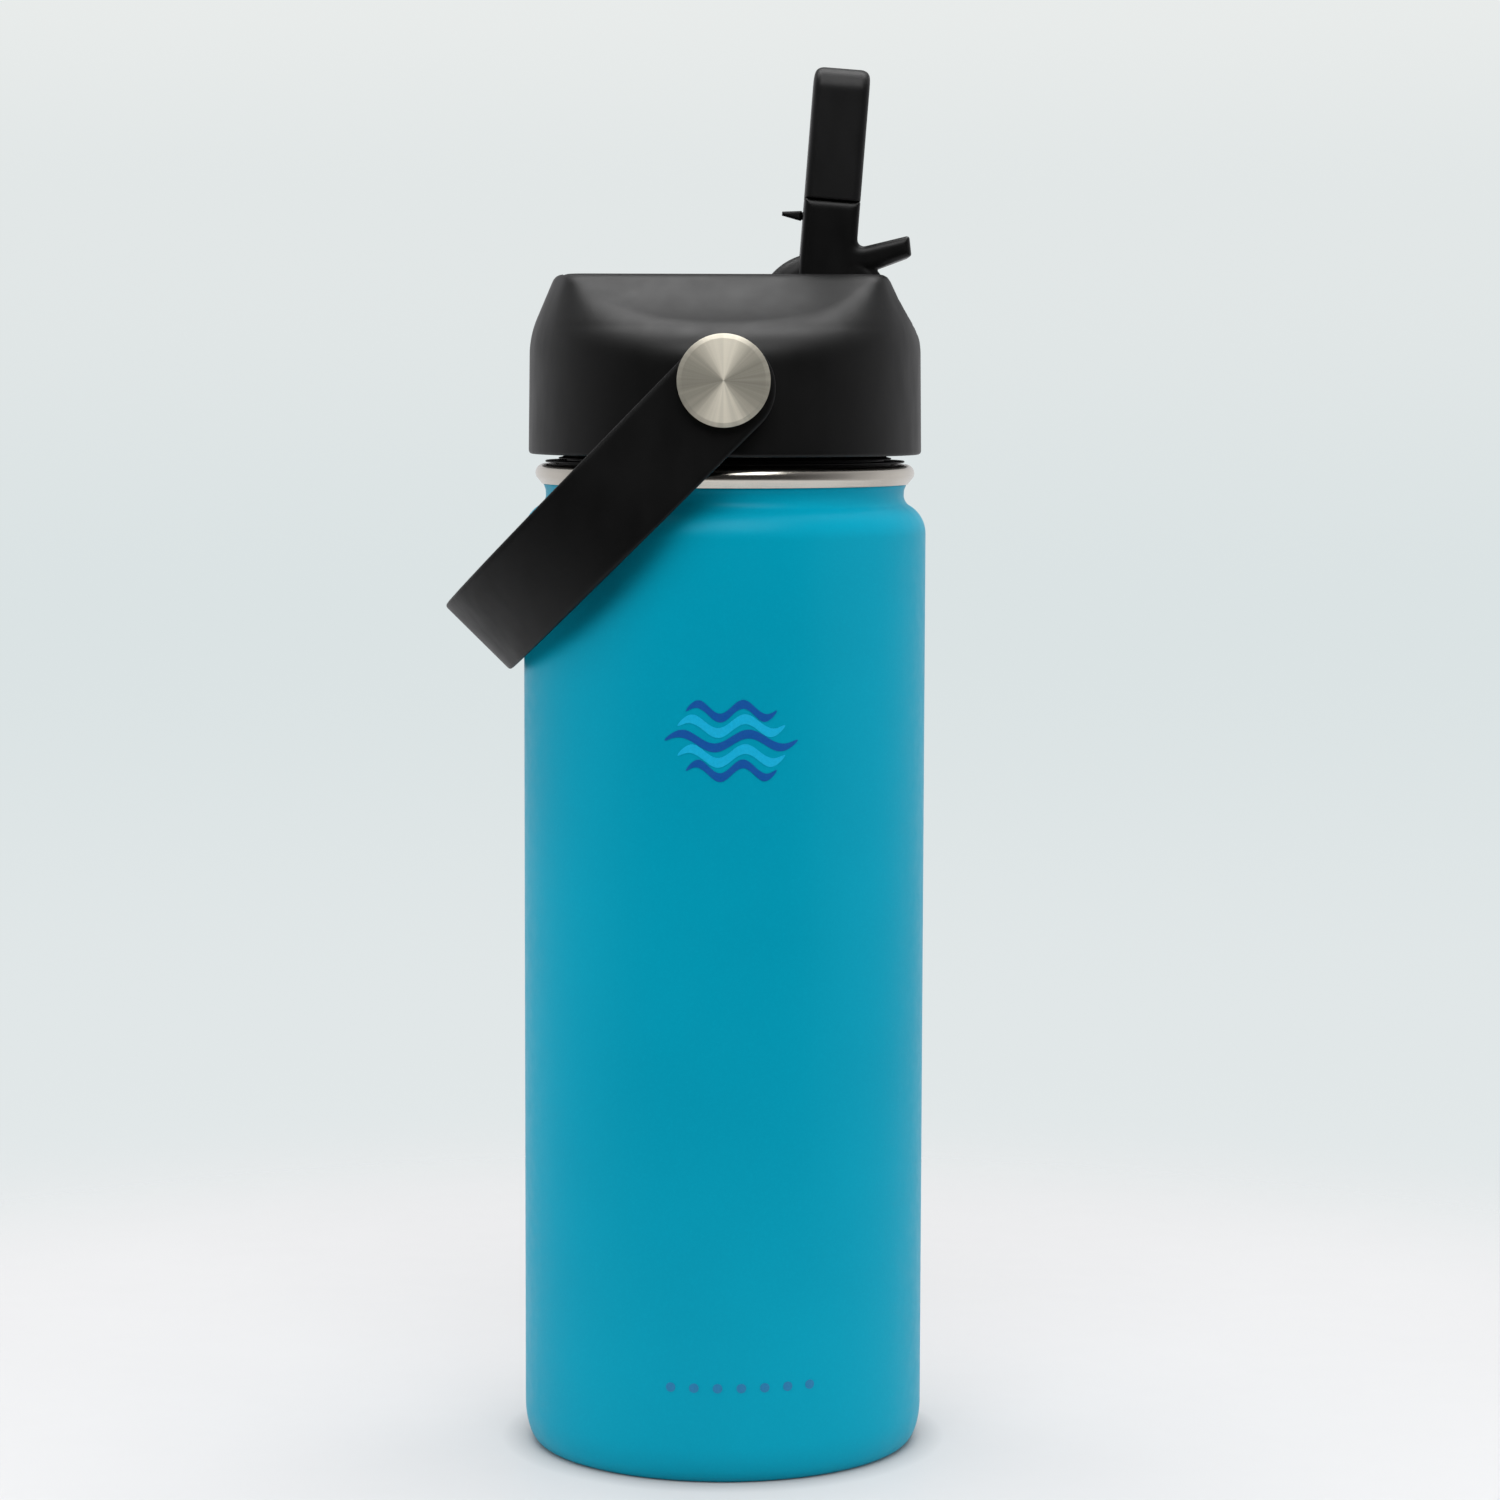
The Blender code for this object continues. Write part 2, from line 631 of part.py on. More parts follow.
def cap_outline():
    """Outer face of the cap from the middle of its top down to the skirt's foot."""
    turn = math.radians(CAP_SHOULDER_TURN)
    start_radius = CAP_RADIUS - CAP_DRAFT
    bend_centre = (start_radius - CAP_SHOULDER_ROUND, CAP_SHOULDER_START)
    bend_end_radius = bend_centre[0] + CAP_SHOULDER_ROUND * math.cos(turn)
    bend_end_height = bend_centre[1] + CAP_SHOULDER_ROUND * math.sin(turn)
    top_radius = bend_end_radius - (CAP_TOP - bend_end_height) * math.tan(turn)
    inset = CAP_TOP_ROUND * math.tan((math.pi / 2 - turn) / 2)
    outline = [(0.0, CAP_TOP)]
    edge_centre = (top_radius - inset, CAP_TOP - CAP_TOP_ROUND)
    outline += arc(edge_centre, CAP_TOP_ROUND, 90, CAP_SHOULDER_TURN, EDGE_STEPS)
    outline += arc(bend_centre, CAP_SHOULDER_ROUND, CAP_SHOULDER_TURN, 0, BEND_STEPS)
    outline.append((CAP_RADIUS, CAP_BOTTOM + CAP_FOOT_CHAMFER))
    outline.append((CAP_RADIUS - CAP_FOOT_CHAMFER, CAP_BOTTOM))
    outline.append((0.0, CAP_BOTTOM))
    return outline


def slot_outline():
    """Side view of the slot: floor, hinge pocket and the open sill at the +X end."""
    above = CAP_TOP + OVERRUN
    outside = CAP_RADIUS + OVERRUN
    floor_angle = -math.degrees(math.asin((SPOUT_Z - POCKET_FLOOR) / POCKET_RADIUS))
    sill_angle = -math.degrees(math.asin((SPOUT_Z - SLOT_SILL) / POCKET_RADIUS))
    outline = [(SLOT_END, above), (SLOT_END, SLOT_FLOOR), (SPOUT_X, SLOT_FLOOR), (SPOUT_X, POCKET_FLOOR)]
    outline += arc((SPOUT_X, SPOUT_Z), POCKET_RADIUS, floor_angle, sill_angle, BEND_STEPS)
    outline += [(outside, SLOT_SILL), (outside, above)]
    return outline


def make_cap_shell():
    """Cap with side scoops, spout slot, hinge drum, liquid passage and pin holes."""
    cap = turned("cap_shell", cap_outline(), CAP_PLASTIC)
    reach = CAP_RADIUS + OVERRUN
    for side, label in ((-1, "near"), (1, "far")):
        scoop = upright_mesh("scoop_" + label, SCOOP_RADIUS, -reach, reach, SCOOP_FACES)
        scoop.transform(X_FROM_Z)
        cut(cap, add_cutter("scoop_" + label, scoop, location=(0.0, side * SCOOP_Y, SCOOP_Z)))
    cut(cap, add_cutter("spout_slot", side_plate_mesh("spout_slot", slot_outline(), SLOT_HALF_WIDTH)))
    drum = cylinder_mesh("hinge_drum", DRUM_RADIUS, -DRUM_HALF_WIDTH, DRUM_HALF_WIDTH, ROUND)
    join(cap, add_cutter("hinge_drum", drum, location=(SPOUT_X, 0.0, SPOUT_Z)))
    below = CAP_BOTTOM - OVERRUN
    inside = [(0.0, CAP_ROOF), (CAP_INSIDE_RADIUS, CAP_ROOF), (CAP_INSIDE_RADIUS, below), (0.0, below)]
    cut(cap, turned_cutter("cap_inside", inside))
    lower = upright_mesh("passage_lower", PASSAGE_RADIUS, CAP_ROOF - OVERRUN, SPOUT_Z)
    cut(cap, add_cutter("passage_lower", lower, location=(SPOUT_X, 0.0, 0.0)))
    upper = upright_mesh("passage_upper", PASSAGE_RADIUS, -OVERRUN, DRUM_RADIUS + OVERRUN)
    cut(cap, add_cutter("passage_upper", upper, parent=SPOUT_FRAME))
    vent_low = (VENT_HOLE_LEFT, -VENT_HOLE_HALF_WIDTH, CAP_ROOF - OVERRUN)
    vent_high = (VENT_HOLE_RIGHT, VENT_HOLE_HALF_WIDTH, SLOT_FLOOR + OVERRUN)
    cut(cap, add_cutter("vent_hole", box_mesh("vent_hole", vent_low, vent_high)))
    for side, label in ((-1, "near"), (1, "far")):
        start = side * (HINGE_PIN_INNER - GAP)
        end = side * (HINGE_PIN_OUTER + GAP)
        hole = cylinder_mesh("hinge_hole_" + label, HINGE_PIN_RADIUS + GAP, start, end, TINY_ROUND)
        cut(cap, add_cutter("hinge_hole_" + label, hole, location=(SPOUT_X, 0.0, SPOUT_Z)))
        start = side * HANDLE_PIN_INNER
        hole = cylinder_mesh("handle_hole_" + label, HANDLE_PIN_RADIUS + GAP, start, side * reach)
        cut(cap, add_cutter("handle_hole_" + label, hole, location=(0.0, 0.0, HANDLE_Z)))


def make_hinge_pins():
    """Two stub pins that the spout turns on."""
    for side, label in ((-1, "near"), (1, "far")):
        name = "hinge_pin_" + label
        start = side * HINGE_PIN_INNER
        mesh = cylinder_mesh(name, HINGE_PIN_RADIUS, start, side * HINGE_PIN_OUTER, TINY_ROUND)
        add_part(name, mesh, BARE_STEEL, location=(SPOUT_X, 0.0, SPOUT_Z))


def flat_ring(name, outer, bore, start, end, finish):
    """A ring round the handle's pivot axis, from y = start to y = end."""
    piece = add_part(name, cylinder_mesh(name, outer, start, end), finish, location=(0.0, 0.0, HANDLE_Z))
    middle = (start + end) / 2
    hole = cylinder_mesh(name + "_bore", bore, middle - OVERRUN, middle + OVERRUN)
    cut(piece, add_cutter(name + "_bore", hole, location=(0.0, 0.0, HANDLE_Z)))
    return piece


def open_clip(clip, y):
    """Cut the top off a clip, so that it is an open C pushed on from below."""
    wide = CLIP_RADIUS + OVERRUN
    mouth = box_mesh(clip.name + "_mouth", (-wide, y - OVERRUN, CLIP_MOUTH), (wide, y + OVERRUN, wide))
    cut(clip, add_cutter(clip.name + "_mouth", mouth, location=(0.0, 0.0, HANDLE_Z)))


def make_handle_pivots():
    """Button, pin, washer and clip on each side of the cap."""
    outer_face = HANDLE_INNER + HANDLE_THICK
    for side, label in ((-1, "near"), (1, "far")):
        name = "button_" + label
        start = side * (outer_face + GAP)
        disc = cylinder_mesh(name, BUTTON_RADIUS, start, start + side * BUTTON_THICK, ROUND)
        button = add_part(name, disc, BRUSHED_STEEL, location=(0.0, 0.0, HANDLE_Z))
        bevel(button, BUTTON_BEVEL, 1)
        name = "pivot_pin_" + label
        pin = cylinder_mesh(name, HANDLE_PIN_RADIUS, side * HANDLE_PIN_INNER, side * outer_face)
        add_part(name, pin, BARE_STEEL, location=(0.0, 0.0, HANDLE_Z))
        start = side * WASHER_INNER_FACE
        flat_ring("washer_" + label, WASHER_RADIUS, HANDLE_PIN_RADIUS + GAP, start,
                  start + side * WASHER_THICK, WASHER_NYLON)
        start = side * CLIP_INNER_FACE
        clip = flat_ring("clip_" + label, CLIP_RADIUS, HANDLE_PIN_RADIUS + GAP, start,
                         start + side * CLIP_THICK, BARE_STEEL)
        open_clip(clip, start)


# ---------------------------------------------------------------- spout

def spout_outline():
    """Side view of the spout base with its fork, sealing shoe and thumb tab."""
    bore = DRUM_RADIUS + GAP
    meet_height = math.sqrt(bore ** 2 - SPOUT_RIGHT ** 2)
    meet_angle = math.degrees(math.atan2(meet_height, SPOUT_RIGHT))
    fork = -SPOUT_LEFT
    outline = [(SPOUT_LEFT, SPOUT_SEAM)]
    outline += arc((0.0, 0.0), fork, 180, 360, SWEEP_STEPS)
    outline.append((SPOUT_RIGHT, FORK_STEP))
    outline += arc((0.0, 0.0), bore, meet_angle, SHOE_END, SWEEP_STEPS)
    outline += arc((0.0, 0.0), SHOE_OUTER, SHOE_END, SHOE_TAB_ANGLE, SWEEP_STEPS)
    outline += [TAB_LOW_END, TAB_TOP_END]
    outline.append((SPOUT_RIGHT + TAB_FILLET, TAB_ROOT))
    outline.append((SPOUT_RIGHT, TAB_ROOT + TAB_FILLET))
    outline.append((SPOUT_RIGHT, SPOUT_SEAM))
    return outline


def make_spout_base():
    """Rigid lower half of the spout: it carries the bore, the shoe and the tab."""
    mesh = side_plate_mesh("spout_base", spout_outline(), SPOUT_HALF_WIDTH)
    base = add_part("spout_base", mesh, SPOUT_PLASTIC, parent=SPOUT_FRAME)
    middle = (SPOUT_LEFT + SPOUT_RIGHT) / 2
    clearance = DRUM_HALF_WIDTH + GAP
    drum = cylinder_mesh("drum_clearance", DRUM_RADIUS + GAP, -clearance, clearance, ROUND)
    cut(base, add_cutter("drum_clearance", drum, parent=SPOUT_FRAME))
    spigot_low = (middle - SPIGOT_HALF_THICK, -SPIGOT_HALF_WIDTH, SPOUT_SEAM - OVERRUN)
    spigot_high = (middle + SPIGOT_HALF_THICK, SPIGOT_HALF_WIDTH, SPIGOT_TOP)
    join(base, add_cutter("spigot", box_mesh("spigot", spigot_low, spigot_high), parent=SPOUT_FRAME))
    bore = upright_mesh("spout_bore", NOZZLE_BORE, DRUM_RADIUS - OVERRUN, SPIGOT_TOP + OVERRUN)
    cut(base, add_cutter("spout_bore", bore, parent=SPOUT_FRAME))
    seat = upright_mesh("seal_seat", SEAL_RADIUS + GAP, DRUM_RADIUS - OVERRUN, SEAL_TOP + GAP)
    cut(base, add_cutter("seal_seat", seat, parent=SPOUT_FRAME))
    side = SPOUT_HALF_WIDTH + OVERRUN
    pins = cylinder_mesh("fork_holes", HINGE_PIN_RADIUS + GAP, -side, side, TINY_ROUND)
    cut(base, add_cutter("fork_holes", pins, parent=SPOUT_FRAME))
    stem_end = SPOUT_LEFT + TOOTH_STEM_DEPTH + GAP
    cut(base, tooth_stem("tooth_hole", TOOTH_STEM_RADIUS + GAP, SPOUT_LEFT - OVERRUN, stem_end))


def tooth_stem(name, radius, start, end):
    """A short cylinder along the spout's X, through the middle of the vent plug."""
    mesh = upright_mesh(name, radius, start, end, TINY_ROUND)
    mesh.transform(X_FROM_Z)
    height = (TOOTH_ROOT_LOW + TOOTH_ROOT_HIGH) / 2
    return add_cutter(name, mesh, parent=SPOUT_FRAME, location=(0.0, 0.0, height))


def make_mouthpiece():
    """Soft upper half of the spout, with rounded corners and a flat oval bore."""
    middle = (SPOUT_LEFT + SPOUT_RIGHT) / 2
    foot = SPOUT_SEAM + GAP
    inner = SPOUT_HALF_WIDTH - MOUTH_CORNER
    outline = [(-SPOUT_HALF_WIDTH, foot), (SPOUT_HALF_WIDTH, foot)]
    outline += arc((inner, SPOUT_TIP - MOUTH_CORNER), MOUTH_CORNER, 0, 90, BEND_STEPS)
    outline += arc((-inner, SPOUT_TIP - MOUTH_CORNER), MOUTH_CORNER, 90, 180, BEND_STEPS)
    mesh = front_plate_mesh("mouthpiece", outline, (SPOUT_RIGHT - SPOUT_LEFT) / 2, middle)
    mouth = add_part("mouthpiece", mesh, SILICONE, parent=SPOUT_FRAME)
    bevel(mouth, MOUTH_EDGE, MOUTH_EDGE_STEPS)
    thick = SPIGOT_HALF_THICK + GAP
    width = SPIGOT_HALF_WIDTH + GAP
    socket_low = (middle - thick, -width, foot - OVERRUN)
    socket_high = (middle + thick, width, SPIGOT_TOP + GAP)
    socket = box_mesh("mouth_socket", socket_low, socket_high)
    cut(mouth, add_cutter("mouth_socket", socket, parent=SPOUT_FRAME))
    bore = upright_mesh("mouth_bore", MOUTH_BORE_HALF_THICK, SPIGOT_TOP - OVERRUN, SPOUT_TIP + OVERRUN)
    for vertex in bore.vertices:
        vertex.co.y *= MOUTH_BORE_HALF_WIDTH / MOUTH_BORE_HALF_THICK
    cut(mouth, add_cutter("mouth_bore", bore, parent=SPOUT_FRAME, location=(middle, 0.0, 0.0)))


def make_spout_seal():
    """Ring that closes the gap between the drum and the spout's bore."""
    bottom = DRUM_RADIUS - OVERRUN
    profile = [(SEAL_BORE, SEAL_TOP), (SEAL_RADIUS, SEAL_TOP), (SEAL_RADIUS, bottom), (SEAL_BORE, bottom)]
    seal = turned("spout_seal", profile, SILICONE, closed=True, steps=SMALL_ROUND, parent=SPOUT_FRAME)
    drum = cylinder_mesh("seal_clearance", DRUM_RADIUS + GAP, -DRUM_HALF_WIDTH, DRUM_HALF_WIDTH, ROUND)
    cut(seal, add_cutter("seal_clearance", drum, parent=SPOUT_FRAME))


def make_vent_tooth():
    """Tapered plug on the spout's face that closes the vent when the spout is folded."""
    root = SPOUT_LEFT - GAP
    tip = SPOUT_LEFT - TOOTH_REACH
    outline = [(root, TOOTH_ROOT_LOW), (root, TOOTH_ROOT_HIGH), (tip, TOOTH_TIP_HIGH), (tip, TOOTH_TIP_LOW)]
    mesh = side_plate_mesh("vent_tooth", outline, TOOTH_HALF_WIDTH)
    tooth = add_part("vent_tooth", mesh, SILICONE, parent=SPOUT_FRAME)
    stem_start = root - TOOTH_STEM_DEPTH
    join(tooth, tooth_stem("tooth_stem", TOOTH_STEM_RADIUS, stem_start, SPOUT_LEFT + TOOTH_STEM_DEPTH))


# ---------------------------------------------------------------- handle

def make_handle():
    """One arched strap: straight arms, a round arch and rounded pivot ends with holes."""
    outer = HANDLE_INNER + HANDLE_THICK
    start = -HANDLE_EYE_RADIUS - OVERRUN
    band = [(start, outer)]
    band += arc((HANDLE_STRAIGHT, 0.0), outer, 90, -90, ARCH_STEPS)
    band += [(start, -outer), (start, -HANDLE_INNER)]
    band += arc((HANDLE_STRAIGHT, 0.0), HANDLE_INNER, -90, 90, ARCH_STEPS)
    band.append((start, HANDLE_INNER))
    deep = HANDLE_EYE_RADIUS + HANDLE_OFFSET + OVERRUN
    handle = add_part("handle", plate_mesh("handle", band, deep), HANDLE_PLASTIC, parent=HANDLE_FRAME)
    far = HANDLE_STRAIGHT + outer + OVERRUN
    wide = outer + OVERRUN
    side = arc((HANDLE_EYE_X, HANDLE_OFFSET), HANDLE_EYE_RADIUS, 90, 270, EYE_STEPS)
    side.append((far, HANDLE_OFFSET - HANDLE_END_HALF_WIDTH))
    side.append((far, HANDLE_OFFSET + HANDLE_END_HALF_WIDTH))
    width = side_plate_mesh("handle_width", side, wide)
    combine(handle, add_cutter("handle_width", width, parent=HANDLE_FRAME), 'INTERSECT')
    hole = cylinder_mesh("handle_pin_holes", HANDLE_PIN_RADIUS + GAP, -wide, wide)
    cut(handle, add_cutter("handle_pin_holes", hole, parent=HANDLE_FRAME))


def settle_shapes():
    """Make each piece's modifiers its mesh and shade its round faces smooth."""
    graph = bpy.context.evaluated_depsgraph_get()
    shapes = {}
    for piece in PARTS.objects:
        if piece.type == 'MESH':
            shapes[piece.name] = bpy.data.meshes.new_from_object(piece.evaluated_get(graph))
    for name, mesh in shapes.items():
        piece = bpy.data.objects[name]
        piece.modifiers.clear()
        piece.data = mesh
        mesh.name = name
        mesh.shade_smooth()
        mesh.set_sharp_from_angle(angle=math.radians(SHARP_ANGLE))


clear_scene()
PARTS = new_collection("insulated_water_bottle")
CUTTERS = new_collection("cutters")
Y_FROM_Z = Vector((0, 0, 1)).rotation_difference(Vector((0, -1, 0))).to_matrix().to_4x4()
X_FROM_Z = Vector((0, 0, 1)).rotation_difference(Vector((1, 0, 0))).to_matrix().to_4x4()

PAINTED_STEEL = material("painted_steel", (0.0, 0.27, 0.40), 0.45)
BARE_STEEL = material("bare_steel", (0.60, 0.58, 0.55), 0.30, 1.0)
BRUSHED_STEEL = material("brushed_steel", (0.55, 0.53, 0.48), 0.35, 1.0)
SOLDER = material("solder", (0.50, 0.50, 0.50), 0.40, 1.0)
GETTER_GREY = material("getter_grey", (0.12, 0.12, 0.13), 0.80)
RUBBER = material("rubber", (0.02, 0.02, 0.02), 0.75)
SILICONE = material("silicone", (0.015, 0.015, 0.016), 0.55)
CAP_PLASTIC = material("cap_plastic", (0.02, 0.02, 0.02), 0.50)
CORE_PLASTIC = material("core_plastic", (0.015, 0.015, 0.015), 0.50)
SPOUT_PLASTIC = material("spout_plastic", (0.012, 0.012, 0.012), 0.50)
STRAW_PLASTIC = material("straw_plastic", (0.70, 0.72, 0.72), 0.30)
WASHER_NYLON = material("washer_nylon", (0.03, 0.03, 0.03), 0.60)
HANDLE_PLASTIC = material("handle_plastic", (0.015, 0.015, 0.016), 0.55)

SPOUT_FRAME = empty("spout_hinge_axis", (SPOUT_X, 0.0, SPOUT_Z), SPOUT_LEAN)
HANDLE_FRAME = empty("handle_pivot_axis", (0.0, 0.0, HANDLE_Z), HANDLE_ANGLE)

make_outer_shell()
make_inner_liner()
make_flask_bottom()
make_getter()
make_lid_gasket()
make_lid_core()
make_fluid_parts()
make_cap_shell()
make_hinge_pins()
make_handle_pivots()
make_spout_base()
make_mouthpiece()
make_spout_seal()
make_vent_tooth()
make_handle()
settle_shapes()
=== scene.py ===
import json
import math

import bmesh
import bpy
import numpy as np
from mathutils import Euler, Matrix, Vector


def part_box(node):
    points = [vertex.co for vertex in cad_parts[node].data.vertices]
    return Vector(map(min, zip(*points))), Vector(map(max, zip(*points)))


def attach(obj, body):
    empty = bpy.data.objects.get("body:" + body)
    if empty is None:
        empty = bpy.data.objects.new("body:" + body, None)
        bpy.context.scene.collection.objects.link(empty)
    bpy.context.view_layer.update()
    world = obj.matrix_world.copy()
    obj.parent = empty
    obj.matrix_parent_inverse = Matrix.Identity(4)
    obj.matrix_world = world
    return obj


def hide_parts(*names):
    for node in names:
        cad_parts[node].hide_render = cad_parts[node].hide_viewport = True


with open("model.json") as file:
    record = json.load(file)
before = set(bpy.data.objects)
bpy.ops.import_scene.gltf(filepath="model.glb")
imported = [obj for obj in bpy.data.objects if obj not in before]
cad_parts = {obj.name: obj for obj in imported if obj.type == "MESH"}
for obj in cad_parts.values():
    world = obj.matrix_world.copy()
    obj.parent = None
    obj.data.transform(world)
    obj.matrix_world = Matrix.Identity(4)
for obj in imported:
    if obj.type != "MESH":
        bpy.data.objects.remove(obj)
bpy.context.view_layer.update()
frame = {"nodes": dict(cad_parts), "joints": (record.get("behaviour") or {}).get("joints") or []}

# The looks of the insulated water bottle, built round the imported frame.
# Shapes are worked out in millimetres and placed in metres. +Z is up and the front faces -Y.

NODES = frame["nodes"]
JOINTS = {joint["name"]: joint for joint in frame["joints"]}
MM = 0.001


def low(node):
    """A CAD node's lowest corner, in mm."""
    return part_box(node)[0] / MM


def high(node):
    """A CAD node's highest corner, in mm."""
    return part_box(node)[1] / MM


# ---------------------------------------------------------------- sizes read from the frame, mm

BODY_R = high("outer_shell").x
PAINT_TOP = high("outer_shell").z
RIM_R = high("inner_liner").x
RIM_TOP = high("inner_liner").z
CAP_R = high("cap_shell").x
CAP_LOW = low("cap_shell").z
GASKET_R = high("lid_gasket").x
GASKET_LOW = low("lid_gasket").z
GASKET_TOP = high("lid_gasket").z
COLLAR_R = high("lid_core").x
PLUG_TOP = high("lid_core").z
HINGE = Vector(JOINTS["spout_hinge"]["pos_m"]) / MM
PIVOT_Z = JOINTS["handle_hinge"]["pos_m"][2] / MM
STRAP_Y = high("handle").y
BUTTON_R = (high("button_near").x - low("button_near").x) / 2
BUTTON_Y = -low("button_near").y

# ---------------------------------------------------------------- sizes of details, mm, and angles

CAP_TOP = 213.5
SHEET = 0.6
AROUND = 256
LEAN = math.radians(4.4)
HANDLE_ANGLE = math.radians(134.7)
STRAP_THICK = 2.8
STRAP_OFFSET = 1.0
STRAP_EYE_U = 0.8
STRAP_EYE_R = 8.8
STRAP_TAPER = 0.0076
STRAP_STRAIGHT = 25.15
STRAP_EDGE = 0.7
STRAP_HOLE_R = 2.9
SLOT_HALF = 9.0
SLOT_FLOOR = 200.9
SLOT_END = -28.7
EXIT_R = 9.4
EXIT_Z = 212.0
EXIT_START = 29.0
POCKET_R = 14.1
POCKET_FLOOR = 199.9
DRUM_R = 11.6
DRUM_HALF = 5.0
DRUM_ROOM_R = 11.9
DRUM_ROOM_HALF = 5.3
HINGE_HOLE_R = 1.55
ROOF = 198.4
CAP_INSIDE_R = 33.4
SCOOP_TOP = (13.9, CAP_TOP, math.radians(40.2))
SCOOP_LOW = (24.0, 204.4, math.radians(8.0))
SCOOP_BEND = 8.0
SCOOP_ROLL = (6.0, 1.8)
SCOOP_ROLL_Z = (204.0, 212.0)
SPOUT_HALF = 8.5
SPOUT_LEFT = -4.4
SPOUT_RIGHT = 5.6
SPOUT_SEAM = 20.9
SPOUT_TIP = 44.4
SPIGOT_HALF = (2.7, 6.2)
SPIGOT_TOP = 31.0
TAB_CORNERS = [(2.0, 9.1), (8.4, 9.35), (14.93, 12.39), (14.42, 15.05), (6.95, 12.62), (2.0, 12.2)]
TAB_ROUND = 0.5
VENT_X = -1.3
WATER_R = 2.1


# ---------------------------------------------------------------- solid fields
# A field is negative inside a solid and positive outside, in mm. Blending two fields
# over a width gives a fillet, and the mesh is then laid on the surface where it is zero.

def meet(a, b, width):
    """Both solids at once, with the edge between them rounded."""
    overlap = np.maximum(width - np.abs(a - b), 0.0)
    return np.maximum(a, b) + overlap * overlap / (4.0 * width)


def fuse(a, b, width):
    """Either solid, with the corner between them filled."""
    return -meet(-a, -b, width)


def carve(a, b, width):
    """The first solid without the second, with the edge between them rounded."""
    return meet(a, -b, width)


def slab(value, lowest, highest):
    """The space between two parallel planes."""
    return np.maximum(lowest - value, value - highest)


def round_box(x, y, z, lows, highs, radius):
    """A box with rounded edges."""
    centre = [(a + b) / 2 for a, b in zip(lows, highs)]
    half = [(b - a) / 2 - radius for a, b in zip(lows, highs)]
    dx = np.abs(x - centre[0]) - half[0]
    dy = np.abs(y - centre[1]) - half[1]
    dz = np.abs(z - centre[2]) - half[2]
    outside = np.sqrt(np.maximum(dx, 0) ** 2 + np.maximum(dy, 0) ** 2 + np.maximum(dz, 0) ** 2)
    inside = np.minimum(np.maximum(dx, np.maximum(dy, dz)), 0.0)
    return outside + inside - radius


def polygon_field(u, v, corners):
    """Signed distance to an outline given by its corners in order."""
    nearest = np.full(u.shape, 1e9)
    winding = np.ones(u.shape)
    count = len(corners)
    for index in range(count):
        au, av = corners[index]
        bu, bv = corners[(index + 1) % count]
        eu, ev = bu - au, bv - av
        wu, wv = u - au, v - av
        along = np.clip((wu * eu + wv * ev) / (eu * eu + ev * ev), 0.0, 1.0)
        du, dv = wu - eu * along, wv - ev * along
        nearest = np.minimum(nearest, du * du + dv * dv)
        above = v >= av
        below = v < bv
        left = eu * wv > ev * wu
        flips = (above & below & left) | (~above & ~below & ~left)
        winding = np.where(flips, -winding, winding)
    return winding * np.sqrt(nearest)


def grid_lines(lowest, highest, step, fine_step, places, reach=0.9):
    """Grid positions from lowest to highest, closer together near the given places."""
    lines = [lowest]
    while lines[-1] < highest:
        near = any(abs(lines[-1] + step / 2 - place) < reach for place in places)
        lines.append(lines[-1] + (fine_step if near else step))
    return np.array(lines)


def surface_mesh(name, field, axes):
    """A quad mesh on the surface where field(x, y, z) is zero, with one vertex to a grid cell."""
    values = field(*np.meshgrid(*axes, indexing="ij"))
    inside = values < 0
    cells = tuple(length - 1 for length in values.shape)
    total = np.zeros(cells + (3,))
    count = np.zeros(cells)
    crossings = []
    for axis in range(3):
        start = [slice(None)] * 3
        stop = [slice(None)] * 3
        start[axis] = slice(0, -1)
        stop[axis] = slice(1, None)
        first, second = values[tuple(start)], values[tuple(stop)]
        crosses = inside[tuple(start)] != inside[tuple(stop)]
        crossings.append(crosses)
        share = np.where(crosses, first / np.where(crosses, first - second, 1.0), 0.0)
        points = []
        for other in range(3):
            lines = axes[other]
            shape = [1, 1, 1]
            shape[other] = -1
            if other == axis:
                position = lines[:-1].reshape(shape) + share * np.diff(lines).reshape(shape)
            else:
                position = np.broadcast_to(lines.reshape(shape), crosses.shape)
            points.append(position * crosses)
        second_axis, third_axis = (axis + 1) % 3, (axis + 2) % 3
        for shift_a in (0, 1):
            for shift_b in (0, 1):
                window = [slice(None)] * 3
                window[second_axis] = slice(shift_a, shift_a + cells[second_axis])
                window[third_axis] = slice(shift_b, shift_b + cells[third_axis])
                count += crosses[tuple(window)]
                for other in range(3):
                    total[..., other] += points[other][tuple(window)]
    active = count > 0
    numbers = np.full(cells, -1)
    numbers[active] = np.arange(int(active.sum()))
    vertices = total[active] / count[active][:, None]
    faces = [face_rows(axis, crossings[axis], inside, numbers) for axis in range(3)]
    vertices = settle_on(field, vertices)
    mesh = bpy.data.meshes.new(name)
    mesh.from_pydata((vertices * MM).tolist(), [], np.concatenate(faces).tolist())
    mesh.validate()
    mesh.shade_smooth()
    return mesh


